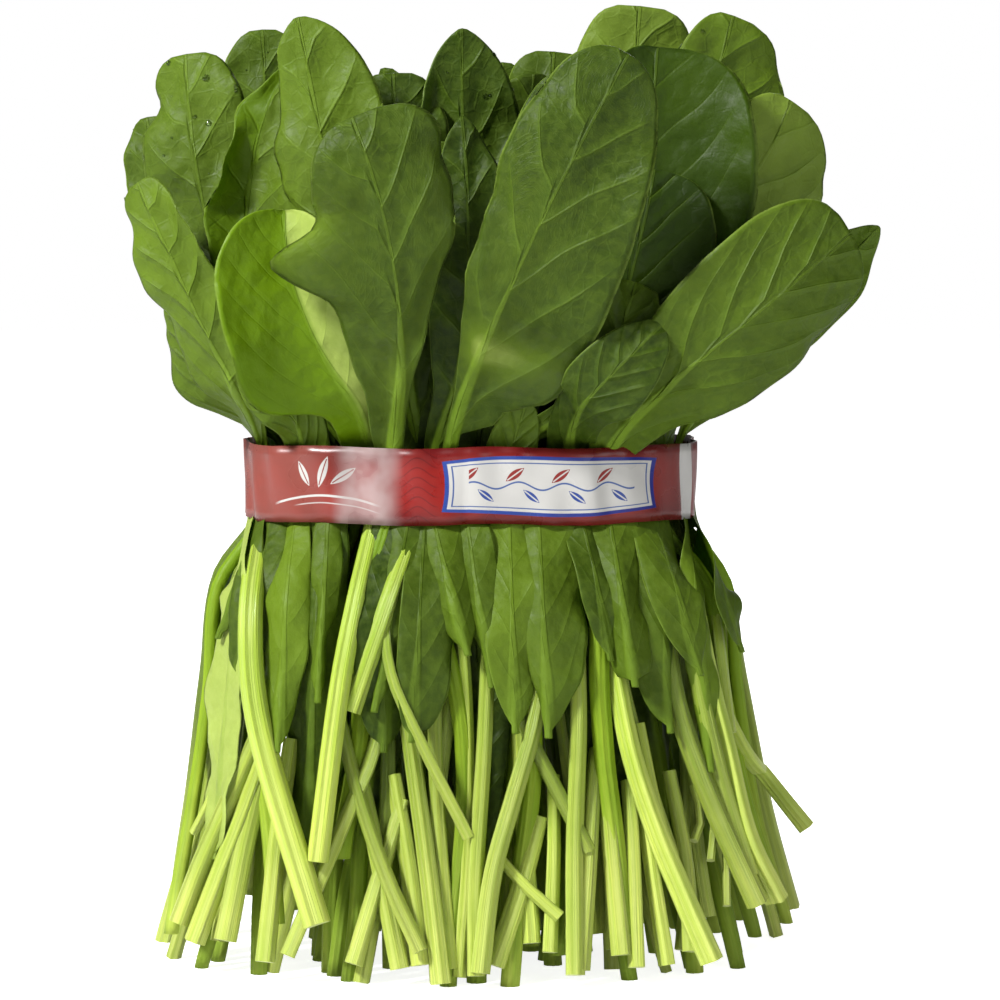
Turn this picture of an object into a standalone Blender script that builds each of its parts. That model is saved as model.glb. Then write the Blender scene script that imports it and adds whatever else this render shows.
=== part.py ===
"""A bunch of spinach: fifty-nine cut leaves standing on their stems, held by one printed tie.

Every leaf is one closed solid, a stem that widens into a blade, grown as one piece. The leaves stand in
eight shells, one inside the other, so that no leaf passes through another. A place on a shell is given by
the share of the way round it, in percent: 0 is the middle of the front (-Y), 25 the right side (+X), 50
the back and -25 the left side. Lengths are in metres, heights are above the cut ends of the stems.
"""

import bisect
import math
import random

import bmesh
import bpy
from mathutils import Vector

MM = 0.001

# The bunch: outline seen from above, and its half width at each height.
ROUNDNESS = 3.0          # 2 is an ellipse, higher is more of a rounded rectangle
DEPTH = 0.78             # front to back against side to side
OUTER_SHELL = 7
TIE_HEIGHT = 120.2 * MM  # middle of the tie
HEIGHTS = [0.0, 0.033, 0.067, 0.093, 0.110, 0.131, 0.147, 0.172, 0.202, 0.242]
OUTER = [0.083, 0.074, 0.068, 0.0645, 0.053, 0.053, 0.063, 0.080, 0.088, 0.094]
INNER = [0.016, 0.014, 0.011, 0.009, 0.008, 0.008, 0.009, 0.012, 0.016, 0.020]
CROWN_FROM = 133 * MM    # above this height a leaf moves to its place in the crown
CROWN_OVER = 26 * MM
OFFSET = Vector((3.27 * MM, -1.65 * MM, 0.0))  # puts the middle of the bunch over the origin

# The leaf.
STALK_WIDE = 2.6 * MM    # half of the stem, along the shell
STALK_THICK = 2.1 * MM   # half of the stem, through the shell
RIB_AT_TIP = 0.3         # the midrib thins to this share of the stem
BLADE_THICK = 0.5 * MM   # half of the blade
TAPER = 1.0              # higher narrows the blade toward the stem
BLUNT = 0.48             # lower rounds the tip
SWAY_HEIGHT = 58 * MM
ROOM = 0.38              # share of the space between neighbours at the tie that a blade may fill
ROOM_IN_CROWN = 0.95
EASY_TWIST = 0.17        # a blade twisted further than this swings out of its shell
FREE_FROM = 132 * MM     # above this height a blade can leave its shell
FREE_OVER = 28 * MM

# The tie.
TIE_TALL = 19 * MM
TIE_INSIDE = 56.9 * MM
TIE_THICK = 0.4 * MM
LAP_FROM, LAP_TO = 46.0, 50.0
TIE_STEPS = 80

# Leaves that show from the front, by hand. shell: at the tie and in the crown. foot: height of the cut end,
# mm. places: round the shell at the cut end, at the tie and at the tip. blade: heights where it starts and
# ends, mm. half: half its width, mm. Optional: cup and twist in degrees, lean of the tip out of its shell in
# mm, sway of the stem half way down in percent, free: height above which the twist begins, mm.
SHOWN = {
    "front_left": dict(
        shell=(7, 6.9), foot=30, places=(-7, -6, -4), blade=(120, 210), half=22, lean=4
    ),
    "front_right": dict(
        shell=(7, 7.4), foot=0, places=(-1, -2, 6), blade=(120, 225), half=18, twist=4, lean=2, sway=1
    ),
    "right_wide": dict(
        shell=(7, 7.0), foot=12, places=(8, 10, 18), blade=(105, 185), half=18, twist=34, lean=15, sway=-1
    ),
    "left_long": dict(
        shell=(7, 7.0), foot=8, places=(-17, -21, -18), blade=(85, 195), half=12, twist=-40, lean=4, sway=-1
    ),
    "low_left": dict(
        shell=(7, 7.0), foot=14, places=(-10, -14, -13), blade=(55, 160), half=12, lean=2, sway=-1
    ),
    "low_middle": dict(shell=(7, 7.0), foot=0, places=(2, 3, 4), blade=(65, 140), half=8, sway=1),
    "low_right": dict(
        shell=(7, 7.0), foot=16, places=(20, 17, 17), blade=(75, 145), half=11, lean=2, sway=-1
    ),
    "right_far": dict(
        shell=(7, 7.0), foot=3, places=(26, 23, 24), blade=(85, 185), half=13, twist=36, lean=14, sway=1
    ),
    "cupped_left": dict(
        shell=(6, 6.2), foot=2, places=(-6, -9, -12), blade=(80, 190), half=19, cup=26, lean=4, sway=1
    ),
    "right_lower": dict(
        shell=(6, 6.3), foot=6, places=(5, 9, 11), blade=(75, 165), half=13, lean=3, sway=1
    ),
    "right_upper": dict(
        shell=(6, 5.9), foot=0, places=(13, 15, 22), blade=(90, 215),
        half=16, twist=44, free=180, lean=10, sway=1
    ),
    "middle_deep": dict(shell=(6, 6.0), foot=10, places=(-2, -3, 0), blade=(85, 205), half=15, sway=-1),
    "left_lower": dict(
        shell=(6, 6.0), foot=5, places=(-19, -21, -19), blade=(50, 170), half=13, twist=-24, lean=5, sway=-1
    ),
    "left_under": dict(shell=(6, 6.6), foot=0, places=(-12, -15, -15), blade=(40, 135), half=11, sway=-1),
    "middle_under": dict(shell=(6, 6.3), foot=4, places=(1, 3, 4), blade=(60, 155), half=7, sway=1),
    "right_under": dict(shell=(6, 6.5), foot=2, places=(23, 22, 23), blade=(45, 150), half=11, sway=-1),
    "right_bright": dict(
        shell=(5, 5.3), foot=4, places=(11, 10, 12), blade=(100, 230), half=19, cup=16, lean=2, sway=1
    ),
    "left_edge_on": dict(
        shell=(5, 5.5), foot=0, places=(-9, -12, -10), blade=(75, 230), half=14, cup=30, twist=8, lean=2
    ),
    "left_shiny": dict(
        shell=(5, 5.3), foot=9, places=(-24, -21, -16), blade=(80, 225), half=15, twist=-36, free=175, lean=4
    ),
    "middle_left": dict(shell=(5, 5.0), foot=3, places=(-3, -5, -4), blade=(80, 220), half=13, sway=-1),
    "middle_small": dict(
        shell=(5, 5.6), foot=7, places=(4, 2, 5), blade=(105, 175), half=8, cup=10, lean=2, sway=-1
    ),
    "left_tall": dict(
        shell=(4, 4.3), foot=0, places=(-6, -11, -10), blade=(80, 235), half=14, lean=3, sway=1
    ),
    "middle_tall": dict(
        shell=(4, 4.4), foot=6, places=(4, 1, 0), blade=(85, 230), half=12, cup=18, lean=4
    ),
    "right_dark": dict(shell=(4, 4.1), foot=2, places=(6, 9, 15), blade=(90, 200), half=16, lean=2, sway=2),
    "right_top": dict(
        shell=(4, 4.4), foot=8, places=(16, 18, 22), blade=(90, 235), half=14, twist=30, free=190, lean=6
    ),
    "left_back_top": dict(shell=(4, 4.0), foot=4, places=(-20, -20, -15), blade=(80, 230), half=13, lean=3),
    "top_right": dict(shell=(3, 3.6), foot=0, places=(10, 13, 12), blade=(85, 240), half=15, lean=5),
}

# The other leaves stand where they have room, at these places round their shell.
FILLED = {
    7: (32, 41.5, 51, 60.5, 70),
    6: (28.5, 36.5, 44.5, 53, 62, 71),
    5: (26.5, 35.5, 44.5, 54, 64),
    4: (31, 43, 54.5, 66),
    3: (-18, -2.5, 28, 42, 56, 69),
    2: (-12, 13, 38, 63),
    1: (10, 60),
}
ON_THE_GROUND = 0.55     # share of the other stems that reach the surface


def along(places, values, at):
    """A smooth curve through the values, straight on beyond its ends."""
    k = min(max(bisect.bisect_right(places, at) - 1, 0), len(places) - 2)

    def slope(i):
        a, b = max(i - 1, 0), min(i + 1, len(places) - 1)
        return (values[b] - values[a]) / (places[b] - places[a])

    step = places[k + 1] - places[k]
    f = (at - places[k]) / step
    if f < 0.0 or f > 1.0:
        end = k if f < 0.0 else k + 1
        return values[end] + slope(end) * (at - places[end])
    a, b = slope(k) * step, slope(k + 1) * step
    rise = values[k + 1] - values[k]
    return values[k] + f * (a + f * ((3 * rise - 2 * a - b) + f * (a + b - 2 * rise)))


def smooth(f):
    f = min(max(f, 0.0), 1.0)
    return f * f * (3 - 2 * f)


class Outline:
    """The rounded outline that every shell shares, half as wide as 1, measured along its length."""

    def __init__(self, steps=1440):
        self.corners = [self.corner(2 * math.pi * i / steps) for i in range(steps + 1)]
        self.length = [0.0]
        for a, b in zip(self.corners, self.corners[1:]):
            self.length.append(self.length[-1] + math.dist(a, b))

    def corner(self, turn):
        s, c = math.sin(turn), math.cos(turn)
        x = math.copysign(abs(s) ** (2 / ROUNDNESS), s)
        return x, -DEPTH * math.copysign(abs(c) ** (2 / ROUNDNESS), c)

    def at(self, percent):
        reach = (percent / 100 % 1.0) * self.length[-1]
        i = min(bisect.bisect_right(self.length, reach), len(self.length) - 1) - 1
        f = (reach - self.length[i]) / (self.length[i + 1] - self.length[i])
        (ax, ay), (bx, by) = self.corners[i], self.corners[i + 1]
        return ax + (bx - ax) * f, ay + (by - ay) * f


OUTLINE = Outline()
ROUND = OUTLINE.length[-1]


def shell_radius(shell, height):
    inside = along(HEIGHTS, INNER, height)
    return inside + (along(HEIGHTS, OUTER, height) - inside) * shell / OUTER_SHELL


def in_bunch(percent, height, radius):
    x, y = OUTLINE.at(percent)
    return Vector((x * radius, y * radius, height)) - OFFSET


class Leaf:
    def __init__(
        self, neighbours, shell, foot, places, blade, half, cup=-12, twist=0, lean=0, sway=0, free=132
    ):
        self.shell, self.crown = shell
        self.foot, (self.start, self.tip) = foot * MM, (blade[0] * MM, blade[1] * MM)
        at_foot, at_tie, at_tip = places
        bend = (SWAY_HEIGHT - self.foot) / (TIE_HEIGHT - self.foot)
        self.heights = [self.foot, SWAY_HEIGHT, TIE_HEIGHT, self.tip]
        self.places = [at_foot, at_foot + (at_tie - at_foot) * bend + sway, at_tie, at_tip]
        self.wide, self.lean, self.free = half * MM, lean * MM, free * MM
        self.cup, self.twist = math.radians(cup), math.radians(twist)
        self.neighbours = neighbours
        ripe = TAPER / (TAPER + BLUNT)
        self.fullest = ripe ** TAPER * (1 - ripe) ** BLUNT

    def radius(self, height):
        moved = smooth((height - CROWN_FROM) / CROWN_OVER)
        return shell_radius(self.shell + (self.crown - self.shell) * moved, height)

    def blade_share(self, height):
        return min(max((height - self.start) / (self.tip - self.start), 0.0), 1.0)

    def stalk(self, height):
        return 1 - (1 - RIB_AT_TIP) * self.blade_share(height)

    def half_width(self, height):
        share = self.blade_share(height)
        blade = self.wide * share ** TAPER * (1 - share) ** BLUNT / self.fullest
        share_of_room = ROOM + ROOM_IN_CROWN * smooth((height - CROWN_FROM) / CROWN_OVER)
        room = share_of_room * ROUND * self.radius(height) / self.neighbours
        blade = blade * room / (blade ** 4 + room ** 4) ** 0.25
        end = (1 - share) ** BLUNT if share > 0.0 else 1.0
        return math.hypot(blade, STALK_WIDE * self.stalk(height) * end)

    def half_thickness(self, height, across):
        stalk = self.stalk(height)
        side = across * self.half_width(height) / (STALK_WIDE * stalk)
        rib = STALK_THICK * stalk * math.sqrt(max(1 - side * side, 0.0))
        blade = BLADE_THICK * (1 - across ** 4) if self.blade_share(height) > 0.0 else 0.0
        return max(rib, blade)

    def middle(self, height, across):
        """The middle of the leaf's thickness; across runs from -1 to 1, left edge to right edge."""
        place = along(self.heights, self.places, height)
        nudge = 0.5 * MM
        drift = (along(self.heights, self.places, height + nudge) - place) / nudge
        drift *= ROUND / 100 * self.radius(height)
        rise = 1 / math.hypot(1, drift)
        twist = self.twist * smooth((height - self.free) / FREE_OVER)
        cup = self.cup * smooth((height - FREE_FROM) / FREE_OVER)
        angle = twist + cup * across / 2
        reach = self.half_width(height) * across
        side, out = reach * math.cos(angle), reach * math.sin(angle)
        out += self.half_width(height) * max(abs(math.sin(twist)) - EASY_TWIST, 0.0)
        above = max(height - FREE_FROM, 0.0) / max(self.tip - FREE_FROM, MM)
        z = height - side * drift * rise
        radius = self.radius(z)
        place += side * rise / (ROUND * radius) * 100
        return in_bunch(place, z, radius + self.lean * above ** 2 + out)

    def surface(self, height, across, face):
        """A point of the outer face (1) or the inner face (-1)."""
        d, e = 0.4 * MM, 0.02
        up = self.middle(height + d, across) - self.middle(height - d, across)
        over = self.middle(height, across + e) - self.middle(height, across - e)
        out = over.cross(up).normalized()
        return self.middle(height, across) + out * face * self.half_thickness(height, across)


NECK_RINGS = (34 * MM, 67 * MM, 91 * MM, 109 * MM, 132 * MM, 148 * MM)
TIP_RINGS = (0.2, 0.4, 0.59, 0.76, 0.89, 0.97)
SHORTEST = 10 * MM       # no two rings at the neck are closer than this to an end
ACROSS = (-1.0, -0.6, 0.0, 0.6, 1.0)


def ring_heights(leaf):
    neck = [leaf.foot]
    neck += [h for h in NECK_RINGS if leaf.foot + SHORTEST < h < leaf.tip - SHORTEST]
    return neck + [neck[-1] + (leaf.tip - neck[-1]) * share for share in TIP_RINGS]


def build_leaf(name, leaf, material):
    """One closed solid, lofted through rings of eight points from the cut end to the tip."""
    mesh = bmesh.new()
    rings = []
    for height in ring_heights(leaf):
        outer = [leaf.surface(height, v, 1) for v in ACROSS]
        inner = [leaf.surface(height, v, -1) for v in ACROSS[-2:0:-1]]
        rings.append([mesh.verts.new(p) for p in outer + inner])
    for vert in rings[0]:
        vert.co.z = leaf.foot
    around = len(rings[0])
    for low, high in zip(rings, rings[1:]):
        for i in range(around):
            j = (i + 1) % around
            if i < around / 2:  # both faces of the blade are split along the same diagonal
                halves = (low[i], low[j], high[j]), (low[i], high[j], high[i])
            else:
                halves = (low[i], low[j], high[i]), (low[j], high[j], high[i])
            for half in halves:
                mesh.faces.new(half)
    mesh.faces.new(rings[0][::-1])
    tip = mesh.verts.new(leaf.middle(leaf.tip, 0.0))
    for i in range(around):
        mesh.faces.new((rings[-1][i], rings[-1][(i + 1) % around], tip))
    return finish(name, mesh, material)


def build_tie(material):
    """A thin strip round the bunch, glued where its end laps over its start at the back."""
    mesh = bmesh.new()
    rings = []
    for i in range(TIE_STEPS):
        place = 100 * i / TIE_STEPS
        lapped = LAP_FROM <= place <= LAP_TO
        outside = TIE_INSIDE + TIE_THICK * (2 if lapped else 1)
        low, high = TIE_HEIGHT - TIE_TALL / 2, TIE_HEIGHT + TIE_TALL / 2
        corners = ((outside, low), (outside, high), (TIE_INSIDE, high), (TIE_INSIDE, low))
        rings.append([mesh.verts.new(in_bunch(place, z, r)) for r, z in corners])
    for a, b in zip(rings, rings[1:] + rings[:1]):
        for i in range(4):
            j = (i + 1) % 4
            mesh.faces.new((a[i], b[i], b[j], a[j]))
    return finish("tie", mesh, material)


def finish(name, mesh, material):
    bmesh.ops.recalc_face_normals(mesh, faces=mesh.faces)
    data = bpy.data.meshes.new(name)
    mesh.to_mesh(data)
    mesh.free()
    data.materials.append(material)
    data.shade_smooth()
    data.set_sharp_from_angle(angle=math.radians(60))
    made = bpy.data.objects.new(name, data)
    bpy.context.scene.collection.objects.link(made)
    return made


def painted(name, colour, roughness):
    material = bpy.data.materials.new(name)
    material.use_nodes = True
    skin = material.node_tree.nodes["Principled BSDF"]
    skin.inputs["Base Color"].default_value = (*colour, 1.0)
    skin.inputs["Roughness"].default_value = roughness
    skin.inputs["Metallic"].default_value = 0.0
    return material


def filled_row(shell, number, place, chance):
    """A leaf that stands where it has room: inner leaves stand taller, and neighbours overlap."""
    inward = 1 - shell / OUTER_SHELL
    dip = 16 * max(math.cos(place / 50 * 2 * math.pi), 0.0)
    foot = 0 if chance.random() < ON_THE_GROUND else round(chance.uniform(1, 14))
    return dict(
        shell=(shell, shell + (0.26 if number % 2 else -0.26)),
        foot=foot,
        places=(place + chance.uniform(-3.4, 3.4), place, place + chance.uniform(-1.4, 1.4)),
        blade=(chance.uniform(56, 97), 198 + 32 * inward - dip + chance.uniform(-12, 8)),
        half=chance.uniform(18, 22) - 4 * inward,
        cup=chance.uniform(-16, -4),
        twist=chance.uniform(-6, 6),
        lean=9 * (1 - inward),
        sway=chance.uniform(-1.6, 1.6),
    )


def all_rows():
    rows = dict(SHOWN)
    chance = random.Random(7)
    for shell, places in FILLED.items():
        for i, place in enumerate(places):
            rows[f"shell{shell}_leaf{i + 1}"] = filled_row(shell, i, place, chance)
    return rows


def main():
    for old in list(bpy.data.objects):
        bpy.data.objects.remove(old, do_unlink=True)
    leaf_green = painted("leaf", (0.12, 0.20, 0.03), 0.45)
    tie_red = painted("tie", (0.42, 0.02, 0.02), 0.35)
    rows = all_rows()
    in_shell = [sum(row["shell"][0] == shell for row in rows.values()) for shell in range(OUTER_SHELL + 1)]
    for name, row in rows.items():
        build_leaf(name, Leaf(in_shell[row["shell"][0]], **row), leaf_green)
    build_tie(tie_red)


main()
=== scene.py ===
"""How a bunch of spinach looks: every leaf with its veins, puckers and stem, the printed tie and the water.

The bunch stands on Z = 0 with its front towards -Y. Lengths are in metres, but the
tables of leaves and stems are in millimetres, as their comments say. A place on a shell of the bunch is the
share of the way round it in percent: 0 is the middle of the front, 25 the right side, 50 the back and -25
the left side.
"""

import math
import random

import bpy
import numpy as np
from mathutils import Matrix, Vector


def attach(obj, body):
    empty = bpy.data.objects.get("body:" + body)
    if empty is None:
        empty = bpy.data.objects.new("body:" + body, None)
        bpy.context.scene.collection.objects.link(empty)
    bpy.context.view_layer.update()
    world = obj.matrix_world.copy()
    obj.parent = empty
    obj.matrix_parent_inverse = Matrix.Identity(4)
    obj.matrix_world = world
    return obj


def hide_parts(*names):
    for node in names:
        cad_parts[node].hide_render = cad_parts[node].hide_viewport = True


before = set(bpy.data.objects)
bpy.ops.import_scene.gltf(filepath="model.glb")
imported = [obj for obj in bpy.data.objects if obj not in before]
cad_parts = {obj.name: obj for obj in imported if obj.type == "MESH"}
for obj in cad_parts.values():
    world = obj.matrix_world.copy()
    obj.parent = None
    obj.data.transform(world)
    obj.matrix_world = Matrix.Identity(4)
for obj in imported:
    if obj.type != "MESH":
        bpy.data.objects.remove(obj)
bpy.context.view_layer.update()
MM = 0.001

# ---------------------------------------------------------------------------------------------------------
# The shape that the frame was built from
# ---------------------------------------------------------------------------------------------------------

ROUNDNESS = 3.0
DEPTH = 0.78
OUTER_SHELL = 7
TIE_HEIGHT = 120.2 * MM
# At these heights: how far the outermost and the innermost shell reach to the side.
HEIGHTS = [0.0, 0.033, 0.067, 0.093, 0.110, 0.131, 0.147, 0.172, 0.202, 0.242]
OUTER = [0.083, 0.074, 0.068, 0.0645, 0.053, 0.053, 0.063, 0.080, 0.088, 0.094]
INNER = [0.016, 0.014, 0.011, 0.009, 0.008, 0.008, 0.009, 0.012, 0.016, 0.020]
CROWN_FROM = 133 * MM
CROWN_OVER = 26 * MM
OFFSET = np.array((3.27 * MM, -1.65 * MM, 0.0))
STALK_WIDE = 2.6 * MM     # half of a stem, sideways
STALK_THICK = 2.1 * MM    # and towards the viewer
RIB_AT_TIP = 0.3          # share of the stem that is left at the tip
BROADER = 0.82            # lower broadens the blade towards the stem
BLUNT = 0.48              # lower rounds its tip
SWAY_HEIGHT = 58 * MM
ROOM = 0.38               # share of the way to its neighbours that half a leaf may take
ROOM_IN_CROWN = 0.95      # and how much more in the crown
EASY_TWIST = 0.17
FREE_FROM = 132 * MM      # from this height up the leaves twist, cup and curl
FREE_OVER = 28 * MM
TIE_TALL = 19 * MM
TIE_INSIDE = 56.9 * MM
TIE_THICK = 0.4 * MM
TIE_STEPS = 360           # points round the tie
TIE_LAP = (46.0, 50.0)    # where round the bunch it lies double, percent

# Leaves that show from the front. shell: at the tie and in the crown. foot: height of the cut end,
# mm. places: round the shell at the cut end, at the tie and at the tip. half: half the width of the blade,
# mm; where it is missing, FINISH gives it. Optional: cup in degrees, lean of the tip out of its shell in mm,
# sway of the stem half way down in percent.
SHOWN = {
    "front_left": dict(shell=(7, 6.9), foot=30, places=(-7, -6, -4), half=22),
    "front_right": dict(shell=(7, 7.4), foot=0, places=(-1, -2, 6), half=18, sway=1),
    "right_wide": dict(shell=(7, 7.0), foot=12, places=(8, 10, 18), half=18, sway=-1),
    "left_long": dict(shell=(7, 7.0), foot=8, places=(-17, -21, -18), half=12, sway=-1),
    "low_left": dict(shell=(7, 7.0), foot=14, places=(-10, -14, -13), half=12, sway=-1),
    "low_middle": dict(shell=(7, 7.0), foot=0, places=(2, 3, 4), sway=1),
    "low_right": dict(shell=(7, 7.0), foot=16, places=(20, 17, 17), lean=2, sway=-1),
    "right_far": dict(shell=(7, 7.0), foot=3, places=(26, 23, 24), half=13, sway=1),
    "cupped_left": dict(shell=(6, 6.2), foot=2, places=(-6, -9, -12), half=19, sway=1),
    "right_lower": dict(shell=(6, 6.3), foot=6, places=(5, 9, 11), half=13, sway=1),
    "right_upper": dict(shell=(6, 5.9), foot=0, places=(13, 15, 22), half=16, sway=1),
    "middle_deep": dict(shell=(6, 6.0), foot=10, places=(-2, -3, 0), half=15, sway=-1),
    "left_lower": dict(shell=(6, 6.0), foot=5, places=(-19, -21, -19), half=13, sway=-1),
    "left_under": dict(shell=(6, 6.6), foot=0, places=(-12, -15, -15), sway=-1),
    "middle_under": dict(shell=(6, 6.3), foot=4, places=(1, 3, 4), sway=1),
    "right_under": dict(shell=(6, 6.5), foot=2, places=(23, 22, 23), sway=-1),
    "right_bright": dict(shell=(5, 5.3), foot=4, places=(11, 10, 12), half=19, sway=1),
    "left_edge_on": dict(shell=(5, 5.5), foot=0, places=(-9, -12, -10), half=14),
    "left_shiny": dict(shell=(5, 5.3), foot=9, places=(-24, -21, -16), half=15),
    "middle_left": dict(shell=(5, 5.0), foot=3, places=(-3, -5, -4), half=13, sway=-1),
    "middle_small": dict(shell=(5, 5.6), foot=7, places=(4, 2, 5), half=8, cup=10, sway=-1),
    "left_tall": dict(shell=(4, 4.3), foot=0, places=(-6, -11, -10), half=14, sway=1),
    "middle_tall": dict(shell=(4, 4.4), foot=6, places=(4, 1, 0), half=12),
    "right_dark": dict(shell=(4, 4.1), foot=2, places=(6, 9, 15), half=16, sway=2),
    "right_top": dict(shell=(4, 4.4), foot=8, places=(16, 18, 22), half=14),
    "left_back_top": dict(shell=(4, 4.0), foot=4, places=(-20, -20, -15), half=13),
    "top_right": dict(shell=(3, 3.6), foot=0, places=(10, 13, 12), half=15),
}

# The other leaves of each shell stand where they have room, at these places round it.
FILLED = {
    7: (32, 41.5, 51, 60.5, 70),
    6: (28.5, 36.5, 44.5, 53, 62, 71),
    5: (26.5, 35.5, 44.5, 54, 64),
    4: (31, 43, 54.5, 66),
    3: (-18, -2.5, 28, 42, 56, 69),
    2: (-12, 13, 38, 63),
    1: (10, 60),
}
ON_THE_GROUND = 0.55     # share of the other stems that reach the surface

# ---------------------------------------------------------------------------------------------------------
# What only the finished leaves have
# ---------------------------------------------------------------------------------------------------------

BLADE_THICK = 0.22 * MM   # half of the blade
COLUMNS = 25              # points across each face of a leaf
STALK_STEP = 3.4 * MM     # height between two rows of points on a stem
BLADE_ROWS = 46
LEAVES_TIE = 130 * MM     # height at which a free midrib sets out
STEM_BENDS = ((0.9, 17), (0.7, 23))  # how far a stem bends sideways and in depth, and over what length, mm
EDGE_WAVE, EDGE_WAVE_LONG = 1.5 * MM, 31 * MM
EDGE_RIPPLE, EDGE_RIPPLE_LONG = 0.6 * MM, 13 * MM
BROAD_WAVE, BROAD_LONG, BROAD_ACROSS = 0.9 * MM, 47 * MM, 38 * MM
PUCKER = 0.45 * MM        # how far the blade sinks between two side veins
CRUMPLE = 0.22 * MM
RIDGE, RIDGE_REACH = 0.5 * MM, 2.2 * MM  # how far the midrib stands out, and over what width
CUT_RINGS = ((0.66, 0.0), (0.42, 0.9 * MM))  # rings of a cut end: share of its size, and how deep it is sunk
PITH_SUNK = 1.1 * MM
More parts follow.
